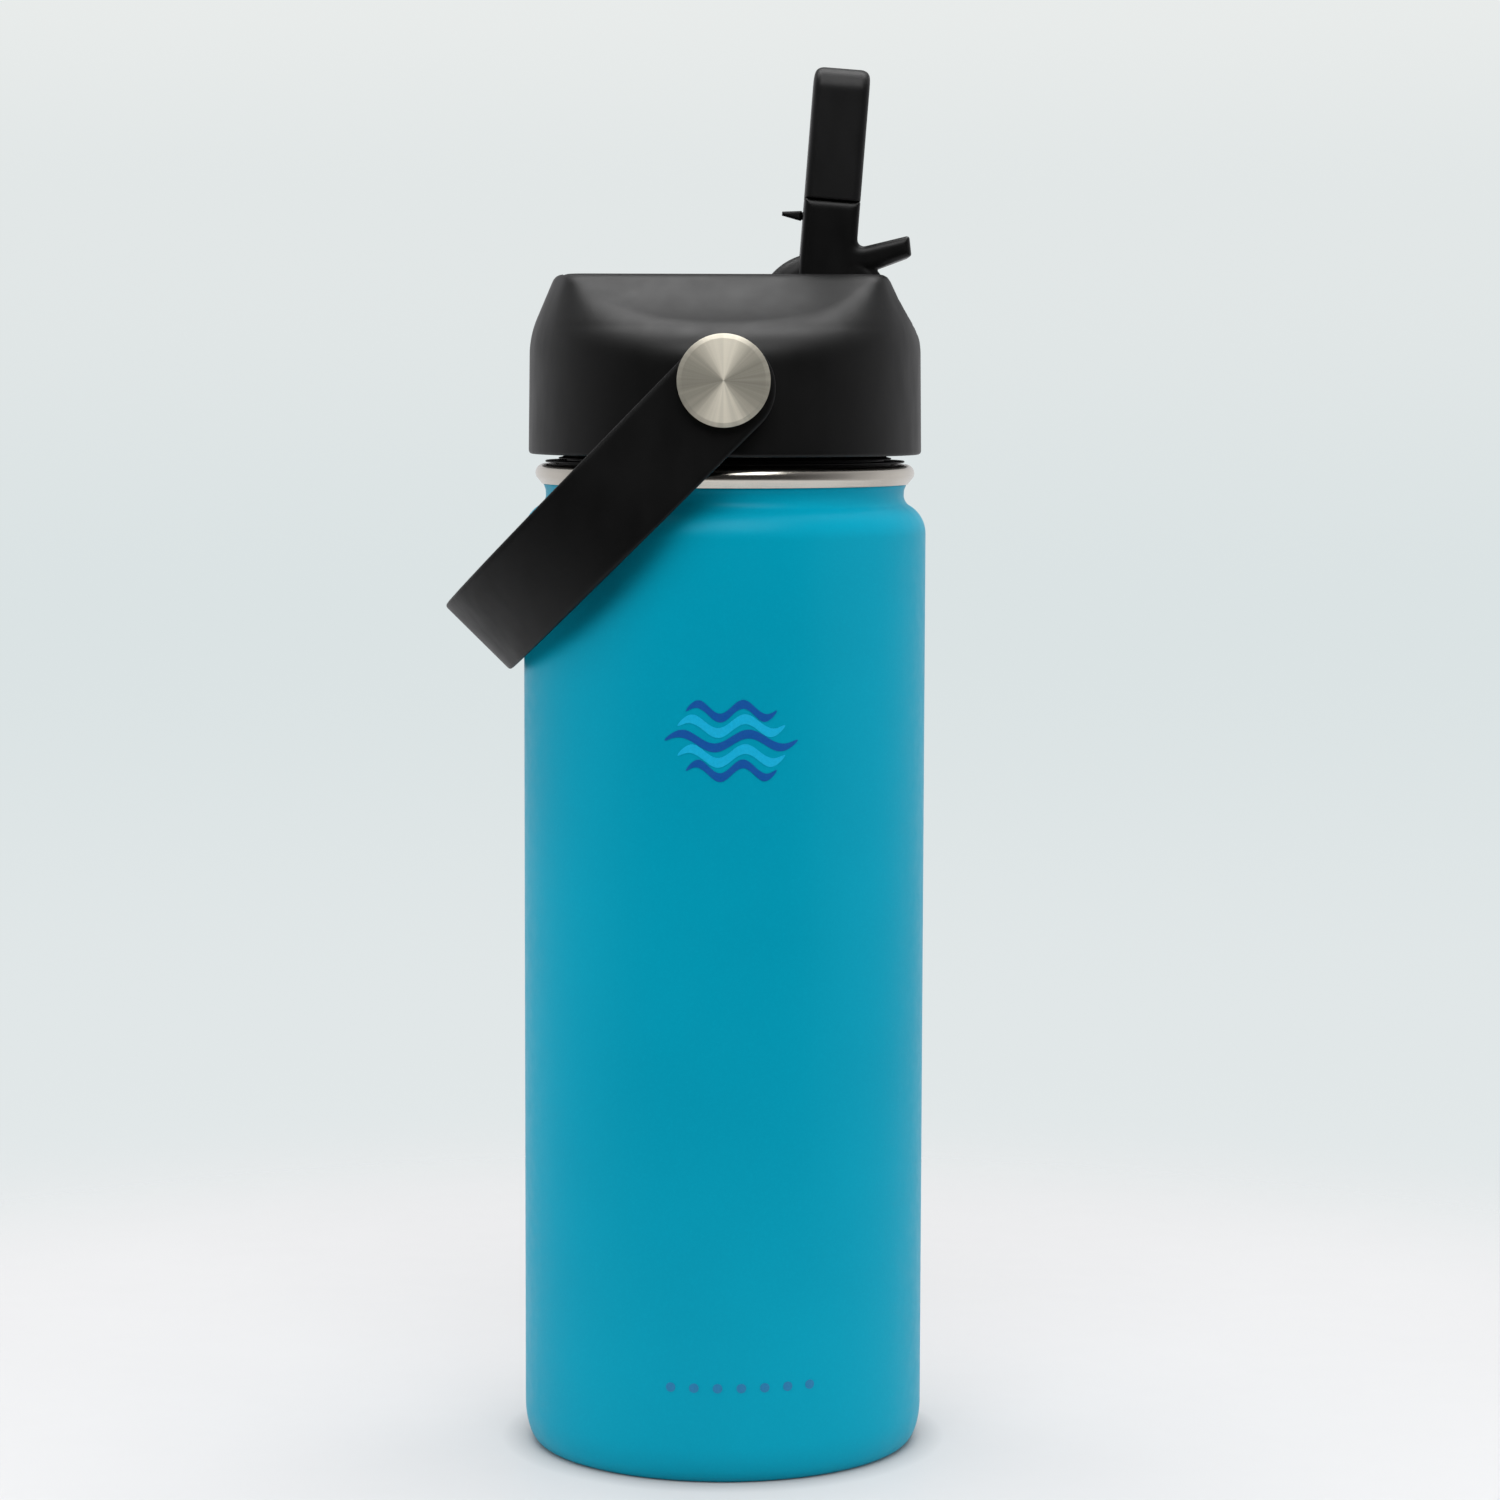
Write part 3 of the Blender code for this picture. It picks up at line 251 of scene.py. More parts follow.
def face_rows(axis, crosses, inside, numbers):
    """The quads round the grid edges that cross the surface along one axis."""
    second_axis, third_axis = (axis + 1) % 3, (axis + 2) % 3
    trimmed = [slice(None)] * 3
    trimmed[second_axis] = slice(1, -1)
    trimmed[third_axis] = slice(1, -1)
    places = np.argwhere(crosses[tuple(trimmed)])
    places[:, second_axis] += 1
    places[:, third_axis] += 1
    corners = []
    for shift_a, shift_b in ((-1, -1), (0, -1), (0, 0), (-1, 0)):
        cell = places.copy()
        cell[:, second_axis] += shift_a
        cell[:, third_axis] += shift_b
        corners.append(numbers[cell[:, 0], cell[:, 1], cell[:, 2]])
    quads = np.stack(corners, axis=1)
    outward = inside[places[:, 0], places[:, 1], places[:, 2]]
    quads[~outward] = quads[~outward][:, ::-1]
    return quads


def settle_on(field, points, rounds=4, probe=0.02, longest=0.3):
    """Slide points along the field's slope until they lie on its surface."""
    gentlest = 0.2
    for _ in range(rounds):
        value = field(*points.T)
        slope = np.zeros_like(points)
        for axis in range(3):
            step = np.zeros(3)
            step[axis] = probe
            rise = field(*(points + step).T) - field(*(points - step).T)
            slope[:, axis] = rise / (2 * probe)
        steep = np.maximum((slope ** 2).sum(axis=1), gentlest)
        move = -(value / steep)[:, None] * slope
        length = np.linalg.norm(move, axis=1)
        move *= np.minimum(1.0, longest / np.maximum(length, 1e-9))[:, None]
        points = points + move
    return points


# ---------------------------------------------------------------- turned shapes

def arc(centre, radius, start, end, steps):
    """Points on an arc, with the angles in degrees."""
    angles = np.radians(np.linspace(start, end, steps + 1))
    return [(centre[0] + radius * math.cos(a), centre[1] + radius * math.sin(a)) for a in angles]


def lathe(name, profile, closed=False, around=AROUND, axis="Z", sharp=40):
    """A mesh turned from (radius, height) points whose outer side runs top to bottom."""
    mesh = bpy.data.meshes.new(name)
    shape = bmesh.new()
    rings = []
    for radius, height in profile:
        if radius < 1e-6:
            rings.append([shape.verts.new((0.0, 0.0, height * MM))])
            continue
        turns = [math.tau * step / around for step in range(around)]
        ring = [(radius * math.cos(turn), radius * math.sin(turn), height) for turn in turns]
        rings.append([shape.verts.new(Vector(point) * MM) for point in ring])
    pairs = list(zip(rings, rings[1:]))
    if closed:
        pairs.append((rings[-1], rings[0]))
    for upper, lower in pairs:
        for step in range(around):
            after = (step + 1) % around
            if len(upper) == 1:
                shape.faces.new((upper[0], lower[step], lower[after]))
            elif len(lower) == 1:
                shape.faces.new((upper[step], lower[0], upper[after]))
            else:
                shape.faces.new((upper[step], lower[step], lower[after], upper[after]))
    if axis == "Y":
        bmesh.ops.rotate(shape, verts=shape.verts, matrix=Matrix.Rotation(math.radians(90), 3, "X"))
    shape.to_mesh(mesh)
    shape.free()
    mesh.shade_smooth()
    mesh.set_sharp_from_angle(angle=math.radians(sharp))
    return mesh


def piece(name, mesh, body, finish, slot, replaced=(), location=(0, 0, 0), turn=(0, 0, 0)):
    """Put a mesh in the scene, riding on a body and standing for CAD nodes."""
    mesh.transform(Euler(turn).to_matrix().to_4x4())
    thing = bpy.data.objects.new(name, mesh)
    bpy.context.scene.collection.objects.link(thing)
    thing.location = Vector(location) * MM
    mesh.materials.clear()
    mesh.materials.append(finish)
    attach(thing, body)
    if replaced:
        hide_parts(*replaced)


def turned_piece(name, profile, body, finish, slot, replaced=(), location=(0, 0, 0), turn=(0, 0, 0),
                 **shape):
    """Put a piece turned from a profile in the scene."""
    piece(name, lathe(name, profile, **shape), body, finish, slot, replaced, location, turn)


# ---------------------------------------------------------------- materials

def srgb(red, green, blue):
    """A screen colour, 0 to 255, as the linear colour that shaders use."""
    linear = []
    for channel in (red, green, blue):
        share = channel / 255
        linear.append(share / 12.92 if share <= 0.04045 else ((share + 0.055) / 1.055) ** 2.4)
    return (*linear, 1.0)


class Graph:
    """A node tree with short ways to add nodes and link them."""

    def __init__(self, owner):
        owner.use_nodes = True
        self.nodes = owner.node_tree.nodes
        self.links = owner.node_tree.links

    def add(self, kind, **settings):
        """A new node with its settings."""
        node = self.nodes.new(kind)
        for key, value in settings.items():
            setattr(node, key, value)
        return node

    def set(self, node, socket, value):
        """Link a socket, or set its value."""
        if isinstance(value, bpy.types.NodeSocket):
            self.links.new(value, node.inputs[socket])
        else:
            node.inputs[socket].default_value = value

    def spread(self, value, lowest, highest, from_low=0.3, from_high=0.7, curve="LINEAR"):
        """Map a value from one range to another."""
        node = self.add("ShaderNodeMapRange", interpolation_type=curve)
        self.set(node, "Value", value)
        self.set(node, "From Min", from_low)
        self.set(node, "From Max", from_high)
        self.set(node, "To Min", lowest)
        self.set(node, "To Max", highest)
        return node.outputs["Result"]

    def math(self, operation, first, second=0.0):
        """An operation's result."""
        node = self.add("ShaderNodeMath", operation=operation)
        self.set(node, 0, first)
        self.set(node, 1, second)
        return node.outputs["Value"]

    def mix(self, share, first, second, blend="MIX"):
        """A blend of two colours."""
        node = self.add("ShaderNodeMix", data_type="RGBA", blend_type=blend)
        self.set(node, 0, share)
        self.set(node, 6, first)
        self.set(node, 7, second)
        return node.outputs[2]

    def ramp(self, value, stops):
        """A smooth colour ramp through (position, colour) stops."""
        node = self.add("ShaderNodeValToRGB")
        node.color_ramp.interpolation = "EASE"
        while len(node.color_ramp.elements) < len(stops):
            node.color_ramp.elements.new(0.5)
        for element, (position, colour) in zip(node.color_ramp.elements, stops):
            element.position = position
            element.color = colour
        self.set(node, "Fac", value)
        return node.outputs["Color"]


class Finish(Graph):
    """A node material with a Principled shader and object-space coordinates."""

    def __init__(self, name, metallic=0.0):
        self.material = bpy.data.materials.new(name)
        super().__init__(self.material)
        self.shader = self.nodes["Principled BSDF"]
        self.set(self.shader, "Metallic", metallic)
        self.place = self.add("ShaderNodeTexCoord").outputs["Object"]

    def noise(self, per_mm, detail=3.0, stretch=(1, 1, 1)):
        """Noise with about per_mm features to the millimetre, stretched along some axes."""
        mapping = self.add("ShaderNodeMapping")
        self.set(mapping, "Vector", self.place)
        self.set(mapping, "Scale", [s * per_mm / MM for s in stretch])
        noise = self.add("ShaderNodeTexNoise")
        self.set(noise, "Vector", mapping.outputs["Vector"])
        self.set(noise, "Scale", 1.0)
        self.set(noise, "Detail", detail)
        return noise.outputs["Fac"]

    def line_noise(self, value, scale, detail):
        """Noise that changes along one value only."""
        noise = self.add("ShaderNodeTexNoise", noise_dimensions="1D")
        self.set(noise, "W", value)
        self.set(noise, "Scale", scale)
        self.set(noise, "Detail", detail)
        return noise.outputs["Fac"]

    def bump(self, height, distance_mm, strength, after=None):
        """A bump's normal, laid over another one if given."""
        node = self.add("ShaderNodeBump")
        self.set(node, "Height", height)
        self.set(node, "Distance", distance_mm * MM)
        self.set(node, "Strength", strength)
        if after is not None:
            self.set(node, "Normal", after)
        return node.outputs["Normal"]

    def look(self, **sockets):
        """Set the shader's sockets, named with underscores for spaces."""
        for socket, value in sockets.items():
            self.set(self.shader, socket.replace("_", " "), value)


def powder_coat():
    """Satin blue powder coat: fine orange peel, faint speckle and slight mottling."""
    made = Finish("blue_powder_coat")
    mottle = made.spread(made.noise(0.02, 2.0), 0.0, 1.0)
    speckle = made.spread(made.noise(2.2, 2.0), 0.0, 0.08, 0.45, 0.8)
    base = made.mix(mottle, srgb(0, 139, 166), srgb(0, 145, 172))
    peel = made.bump(made.noise(1.1, 2.0), 0.012, 0.6)
    made.look(Base_Color=made.mix(speckle, base, srgb(10, 180, 206)),
              Roughness=made.spread(made.noise(0.35, 3.0), 0.34, 0.42),
              Specular_IOR_Level=0.07,
              Normal=made.bump(made.noise(4.0, 2.0), 0.006, 0.5, peel))
    return made.material


def print_ink(name, colour):
    """Printed ink, slightly glossier than the paint and with a faint screen grain."""
    made = Finish(name)
    lighter = tuple(min(1.0, channel * 1.12 + 0.004) for channel in colour[:3]) + (1.0,)
    screen = made.spread(made.noise(3.0, 2.0), 0.0, 1.0)
    made.look(Base_Color=made.mix(screen, colour, lighter),
              Roughness=made.spread(made.noise(1.0, 2.0), 0.34, 0.44),
              Normal=made.bump(made.noise(1.1, 2.0), 0.01, 0.5))
    return made.material


def moulded(name, dark, light, rough_low, rough_high, grain_mm=0.010, specular=0.5):
    """Moulded plastic or silicone with a fine spark texture, slight mottling and faint rub marks."""
    made = Finish(name)
    cloud = made.spread(made.noise(0.06, 3.0), 0.0, 1.0)
    grain = made.noise(3.2, 2.0)
    spark = made.spread(grain, 0.0, 0.35, 0.45, 0.8)
    rub = made.noise(0.25, 4.0, stretch=(1.0, 1.0, 0.35))
    made.look(Base_Color=made.mix(spark, made.mix(cloud, dark, light), light),
              Roughness=made.spread(rub, rough_low, rough_high),
              Specular_IOR_Level=specular,
              Normal=made.bump(grain, grain_mm, 0.6))
    return made.material


def turned_steel(name, colour, rough_low, rough_high):
    """Steel polished on a lathe: fine lines round the axis, with slight stains."""
    made = Finish(name, metallic=1.0)
    lines = made.noise(9.0, 2.0, stretch=(0.02, 0.02, 1.0))
    stain = made.spread(made.noise(0.08, 3.0), 0.0, 1.0)
    darker = tuple(channel * 0.9 for channel in colour[:3]) + (1.0,)
    made.look(Base_Color=made.mix(stain, colour, darker),
              Roughness=made.spread(lines, rough_low, rough_high),
              Normal=made.bump(lines, 0.004, 0.5))
    return made.material


def brushed_face():
    """Button steel, brushed in circles round its own Y axis, with painted reflection wedges in its colour.
    """
    made = Finish("button_brushed_steel", metallic=0.55)
    parts = made.add("ShaderNodeSeparateXYZ")
    made.set(parts, "Vector", made.place)
    across = made.math("POWER", parts.outputs["X"], 2.0)
    upward = made.math("POWER", parts.outputs["Z"], 2.0)
    radius = made.math("SQRT", made.math("ADD", across, upward))
    lines = made.line_noise(made.math("MULTIPLY", radius, 1.0 / MM), 9.0, 3.0)
    # Painted reflection: the colour is lighter in wedges at the top and bottom and darker at the sides,
    # with streaks, standing in for the brushed face's highlights.
    angle = made.math("ARCTAN2", parts.outputs["X"], parts.outputs["Z"])
    painted_sheen = made.math("COSINE", made.math("MULTIPLY", angle, 2.0))
    streaks = made.spread(made.line_noise(angle, 5.0, 4.0), 0.0, 0.35)
    painted_reflection_fan = made.math("ADD", made.spread(painted_sheen, 0.0, 0.75, -1.0, 1.0), streaks)
    painted_wedges_and_grain = made.math("ADD", painted_reflection_fan, made.spread(lines, -0.06, 0.06))
    tangent = made.add("ShaderNodeTangent", direction_type="RADIAL", axis="Y")
    made.look(Base_Color=made.mix(painted_wedges_and_grain, srgb(152, 149, 137), srgb(206, 200, 185)),
              Roughness=made.spread(lines, 0.46, 0.56),
              Anisotropic=0.92,
              Anisotropic_Rotation=0.25,
              Tangent=tangent.outputs["Tangent"],
              Normal=made.bump(lines, 0.006, 0.35))
    return made.material


def straw_plastic():
    """Milky straw plastic with faint drawing lines along it."""
    made = Finish("straw_plastic")
    lines = made.noise(2.0, 2.0, stretch=(1.0, 1.0, 0.02))
    streaks = made.spread(lines, 0.0, 1.0)
    made.look(Base_Color=made.mix(streaks, srgb(214, 220, 220), srgb(232, 235, 235)),
              Roughness=made.spread(lines, 0.25, 0.38),
              Normal=made.bump(lines, 0.01, 0.4))
    return made.material


PAINT = powder_coat()
INK_DARK = print_ink("ink_dark_blue", srgb(0, 73, 146))
INK_LIGHT = print_ink("ink_light_blue", srgb(2, 159, 199))
INK_DEEP = print_ink("ink_deep_blue", srgb(0, 104, 149))
RIM_STEEL = turned_steel("rim_steel", srgb(206, 200, 190), 0.16, 0.26)
PIN_STEEL = turned_steel("pin_steel", srgb(190, 188, 184), 0.24, 0.34)
DULL_METAL = turned_steel("dull_metal", srgb(150, 150, 150), 0.5, 0.65)
FACE_STEEL = brushed_face()
CAP_PLASTIC = moulded("cap_plastic", srgb(2, 2, 2), srgb(6, 6, 6), 0.42, 0.50, 0.010, 0.27)
SPOUT_PLASTIC = moulded("spout_plastic", srgb(3, 3, 3), srgb(7, 7, 7), 0.36, 0.44, 0.006, 0.22)
SOFT_BLACK = moulded("black_silicone", srgb(5, 5, 5), srgb(10, 10, 11), 0.44, 0.54, 0.006, 0.26)
STRAP_PLASTIC = moulded("strap_plastic", srgb(3, 3, 3), srgb(8, 8, 8), 0.42, 0.52, 0.008, 0.21)
CORE_PLASTIC = moulded("core_plastic", srgb(4, 4, 4), srgb(8, 8, 8), 0.45, 0.55, 0.006, 0.3)
BASE_RUBBER = moulded("base_rubber", srgb(26, 26, 26), srgb(36, 36, 36), 0.65, 0.8, 0.02)
STRAW_PLASTIC = straw_plastic()


# ---------------------------------------------------------------- flask

def base_corner(inset):
    """Tall soft corner between the wall and the foot, set in by the sheet for its inner face."""
    depth = 2.7
    height = 7.0
    steps = 16
    points = []
    for turn in np.radians(np.linspace(0, 90, steps + 1)):
        across = (depth - inset) * math.cos(turn)
        down = (height - inset) * math.sin(turn)
        points.append((BODY_R - depth + across, height - down))
    return points


def shell_profile():
    """Painted shell: neck, shoulder, straight wall, base corner, foot ring, then back up inside."""
    neck_r = 32.5
    neck_fillet = 2.2
    flare = 0.2
    flare_foot = 0.7
    flare_end = (0.05, 1.1)
    shoulder = 5.8
    shoulder_z = 167.0
    turn = 60
    top = PAINT_TOP + 0.5
    blend_z = shoulder_z + shoulder * math.sin(math.radians(turn))
    fillet_z = blend_z + neck_fillet * math.sin(math.radians(turn))
    row_height = 16
    foot = 27.6
    foot_edge = 0.5
    foot_lip = 2.4
    inner_bend = 0.4
    outer = arc((neck_r + flare, top - flare), flare, 90, 0, 4)
    outer += [(neck_r + flare, top - flare_foot), (neck_r + flare_end[0], top - flare_end[1])]
    outer += arc((neck_r + neck_fillet, fillet_z), neck_fillet, 180, 180 + turn, 10)
    outer += arc((BODY_R - shoulder, shoulder_z), shoulder, turn, 0, 18)[1:]
    outer += [(BODY_R, shoulder_z - row * row_height) for row in range(1, 10)]
    outer += base_corner(0.0)
    outer += arc((foot + foot_edge, foot_edge), foot_edge, -90, -180, 4)
    outer.append((foot, foot_lip))
    inner = [(foot + SHEET, foot_lip), (foot + SHEET, SHEET + inner_bend)]
    inner.append((foot + SHEET + inner_bend, SHEET))
    inner += base_corner(SHEET)[::-1]
    inner += arc((BODY_R - shoulder, shoulder_z), shoulder - SHEET, 0, turn, 12)
    inner += arc((neck_r + neck_fillet, fillet_z), neck_fillet + SHEET, 180 + turn, 180, 8)[1:]
    inner.append((neck_r - SHEET, top))
    return outer + inner


def liner_profile():
    """Steel liner: floor, wall and mouth inside, over the rolled rim, then down its outer side."""
    mouth = 30.4
    mouth_edge = 0.6
    mouth_foot = 163.0
    wall = 33.0
    wall_bend = 3.0
    wall_top = 157.0
    wall_turn = 35
    floor = low("inner_liner").z
    floor_bend = 4.4
    floor_bend_z = floor + floor_bend + SHEET
    bead = 1.6
    rim_foot = 175.9
    liner = [(0.0, floor + SHEET)]
    liner += arc((wall - floor_bend, floor_bend_z), floor_bend, -90, 0, 8)
    liner += arc((wall - wall_bend, wall_top), wall_bend, 0, wall_turn, 5)
    liner += [(mouth + 0.5, mouth_foot - 1.6), (mouth, mouth_foot)]
    liner += arc((mouth + mouth_edge, RIM_TOP - mouth_edge), mouth_edge, 180, 90, 5)
    liner += arc((RIM_R - bead, RIM_TOP - bead), bead, 90, -30, 20)
    liner += [(33.36, rim_foot + 0.24), (33.28, rim_foot + 0.06), (33.1, rim_foot)]
    liner += [(mouth + SHEET, rim_foot), (mouth + SHEET, mouth_foot + 0.2), (mouth + 1.1, mouth_foot - 1.2)]
    liner += arc((wall - wall_bend, wall_top + 0.2), wall_bend + SHEET, wall_turn, 0, 5)
    liner += arc((wall - floor_bend, floor_bend_z), floor_bend + SHEET, 0, -90, 8)
    liner.append((0.0, floor))
    return liner


def plate_profile():
    """Bottom plate with its raised port in the middle and pressed rings in its underside."""
    port_r = 0.9
    port_top = 3.6
    reach = 26.2
    edge = 0.2
    upper = 2.1
    under = 1.5
    ring_half = 0.35
    ring_depth = 0.12
    plate = [(port_r, port_top), (4.6, port_top)] + arc((4.6, 3.0), 0.6, 90, 45, 3)
    plate += [(6.3, 2.25), (6.8, upper), (reach, upper)]
    plate += arc((reach, upper - edge), edge, 90, 0, 2) + arc((reach, under + edge), edge, 0, -90, 2)
    for ring in range(5):
        at = 24.4 - ring * 1.3
        plate += [(at + ring_half, under), (at, under + ring_depth), (at - ring_half, under)]
    return plate + [(6.8, under), (6.3, 1.65), (4.9, 2.9), (4.4, 3.0), (port_r, 3.0)]


def disc_profile():
    """Base cover disc, with rounded edges and round grooves in its underside."""
    reach = high("base_cover").x
    top = high("base_cover").z
    top_edge = 0.35
    low_edge = 0.25
    groove_out, groove_in, groove_top = 0.3, 0.12, 0.22
    disc = [(0.0, top)] + arc((reach - top_edge, top - top_edge), top_edge, 90, 0, 4)
    disc += arc((reach - low_edge, low_edge), low_edge, 0, -90, 3)
    for ring in range(4):
        at = reach - 2.2 - ring * 3.2
        disc += [(at + groove_out, 0.0), (at + groove_in, groove_top)]
        disc += [(at - groove_in, groove_top), (at - groove_out, 0.0)]
    return disc + [(0.0, 0.0)]


def build_flask():
    """Painted shell, steel liner with rolled rim and thread, bottom plate and cover disc."""
    turned_piece("flask_shell", shell_profile(), "flask", PAINT, "blue_paint", ["outer_shell"], closed=True)
    turned_piece("flask_liner", liner_profile(), "flask", RIM_STEEL, "bare_steel", ["inner_liner"])
    piece("liner_thread", helix("liner_thread", 30.4, 0.8, 169.0), "flask", RIM_STEEL, "bare_steel")
    turned_piece("bottom_plate", plate_profile(), "flask", PIN_STEEL, "bare_steel", ["outer_bottom"],
                 closed=True)
    turned_piece("base_disc", disc_profile(), "flask", BASE_RUBBER, "base_rubber", ["base_cover"])


def helix(name, radius, bead, start, pitch=4.0, turns=1.25, per_turn=96, sides=12):
    """A right-hand helical bead that thins toward its ends, as one closed tube."""
    mesh = bpy.data.meshes.new(name)
    shape = bmesh.new()
    count = int(turns * per_turn)
    end_size = 0.35
    end_steps = 8
    rings = []
    for index in range(count + 1):
        angle = math.tau * index / per_turn
        run_out = min(1.0, index / end_steps, (count - index) / end_steps)
        size = bead * (end_size + (1.0 - end_size) * math.sqrt(run_out))
        ring = []
        for side in range(sides):
            around = math.tau * side / sides
            r = radius + size * math.cos(around)
            z = start + pitch * angle / math.tau + size * math.sin(around)
            ring.append(shape.verts.new((r * math.cos(angle) * MM, r * math.sin(angle) * MM, z * MM)))
        rings.append(ring)
    for first, second in zip(rings, rings[1:]):
        for side in range(sides):
            after = (side + 1) % sides
            shape.faces.new((first[side], second[side], second[after], first[after]))
    shape.faces.new(rings[0])
    shape.faces.new(reversed(rings[-1]))
    bmesh.ops.recalc_face_normals(shape, faces=shape.faces)
    shape.to_mesh(mesh)
    shape.free()
    mesh.shade_smooth()
    return mesh


def wrapped(name, rows, thick=0.05):
    """A thin printed film on the flask's front: rows of (across, height) points, left to right."""
    mesh = bpy.data.meshes.new(name)
    shape = bmesh.new()
    clear = 0.01
    layers = []
    for radius in (BODY_R + clear, BODY_R + clear + thick):
        layer = []
        for row in rows:
            line = []
            for across, height in row:
                angle = across / BODY_R
                point = (radius * math.sin(angle) * MM, -radius * math.cos(angle) * MM, height * MM)
                line.append(shape.verts.new(point))
            layer.append(line)
        layers.append(layer)
    last_row = len(rows) - 1
    last = len(rows[0]) - 1

    def quad(*places):
        shape.faces.new([layers[layer][row][col] for layer, row, col in places])

    for row in range(last_row):
        for col in range(last):
            quad((1, row, col), (1, row, col + 1), (1, row + 1, col + 1), (1, row + 1, col))
            quad((0, row, col), (0, row + 1, col), (0, row + 1, col + 1), (0, row, col + 1))
    for col in range(last):
        quad((0, 0, col), (0, 0, col + 1), (1, 0, col + 1), (1, 0, col))
        quad((0, last_row, col + 1), (0, last_row, col), (1, last_row, col), (1, last_row, col + 1))
    for row in range(last_row):
        quad((0, row + 1, 0), (0, row, 0), (1, row, 0), (1, row + 1, 0))
        quad((0, row, last), (0, row + 1, last), (1, row + 1, last), (1, row, last))
    shape.to_mesh(mesh)
    shape.free()
    return mesh


def wave_band(middle, width, height, thick, start):
    """Rows of a wavy stripe with pointed ends: lower edge, then upper edge."""
    steps = 96
    waves = 2
    tip_half = 0.02
    tip_share = 1 / 6
    rows = [[], []]
    for step in range(steps + 1):
        share = step / steps
        across = middle + (share - 0.5) * width
        wave = height * math.sin(math.tau * waves * share)
        taper = min(1.0, share / tip_share, (1 - share) / tip_share) ** 0.5
        half = thick / 2 * taper + tip_half
        rows[0].append((across, start + wave - half))
        rows[1].append((across, start + wave + half))
    return rows


def build_print():
    """A plain two-tone wave emblem on the front, and a row of plain dots near the base."""
    middle = 1.5
    emblem_z = 132.2
    swing = 1.2
    bands = [("emblem_wave", INK_DARK, 1.5, [(5.2, 16.0), (0.0, 23.7), (-5.2, 16.0)]),
             ("emblem_fill", INK_LIGHT, 1.7, [(2.6, 19.0), (-2.6, 19.0)])]
    for label, ink, thick, places in bands:
        for index, (offset, width) in enumerate(places):
            name = f"{label}_{index}"
            rows = wave_band(middle, width, swing, thick, emblem_z + offset)
            piece(name, wrapped(name, rows), "flask", ink, "blue_paint")
    dots = 7
    dots_middle = 3.5
    dots_z = 17.5
    dot_space = 4.2
    dot_r = 0.85
    for index in range(dots):
        across = dots_middle + (index - (dots - 1) / 2) * dot_space
        name = f"base_dot_{index}"
        piece(name, wrapped(name, dot_rows(across, dots_z, dot_r)), "flask", INK_DEEP, "blue_paint")


def dot_rows(across, height, radius):
    """Rows of a round dot."""
    steps = 12
    half_steps = 4
    narrowest = 0.03
    rows = []
    for step in range(steps + 1):
        up = -radius + 2 * radius * step / steps
        half = math.sqrt(max(radius ** 2 - up ** 2, narrowest ** 2))
        shares = [col / half_steps - 1 for col in range(2 * half_steps + 1)]
        rows.append([(across + half * share, height + up) for share in shares])
    return rows


# ---------------------------------------------------------------- lid

def cap_side(r, z):
    """Field of the cap's outer wall: drafted skirt, then a shoulder that leans in."""
    draft = 0.2
    bend = 17.0
    bend_z = 199.0
    turn = math.radians(23)
    bend_r = CAP_R - draft - bend
    skirt = r - (CAP_R - draft * (z - CAP_LOW) / (bend_z - CAP_LOW))
    bow = np.sqrt((r - bend_r) ** 2 + (z - bend_z) ** 2) - bend
    end_r = bend_r + bend * math.cos(turn)
    end_z = bend_z + bend * math.sin(turn)
    cone = (r - end_r) * math.cos(turn) + (z - end_z) * math.sin(turn)
    return np.where(z < bend_z, skirt, np.where(z < end_z + (r - end_r) * math.tan(turn), bow, cone))


def above_slope(y, z, start_y, start_z, fall):
    """The space above a plane that falls away from the middle on the front and the back."""
    return -(np.abs(y) - start_y) * math.sin(fall) - (z - start_z) * math.cos(fall)


def x_from_hinge(x, z):
    """Distance across the open spout's axis."""
    return (x - HINGE.x) * math.cos(LEAN) - (z - HINGE.z) * math.sin(LEAN)


def cap_passages(x, y, z, hub):
    """Each hole with the width of its edge: water passage, vent, handle pivots and hinge pins."""
    water_r = 2.2
    water_top = CAP_TOP + 6
    vent_x, vent_half = (-3.2, 1.1), 1.8
    pivot_depth = 29.5
    pin_span = (3.3, 12.3)
    water = np.where(z > HINGE.z, np.sqrt(x_from_hinge(x, z) ** 2 + y ** 2),
                     np.sqrt((x - HINGE.x) ** 2 + y ** 2)) - water_r
    yield np.maximum(water, z - water_top), 0.3
    yield round_box(x, y, z, (vent_x[0], -vent_half, ROOF - 2), (vent_x[1], vent_half, SLOT_FLOOR + 2),
                    0.5), 0.3
    pivot = np.sqrt(x ** 2 + (z - PIVOT_Z) ** 2) - STRAP_HOLE_R
    yield np.maximum(pivot, pivot_depth - np.abs(y)), 0.3
    yield np.maximum(hub - HINGE_HOLE_R, slab(np.abs(y), *pin_span)), 0.2


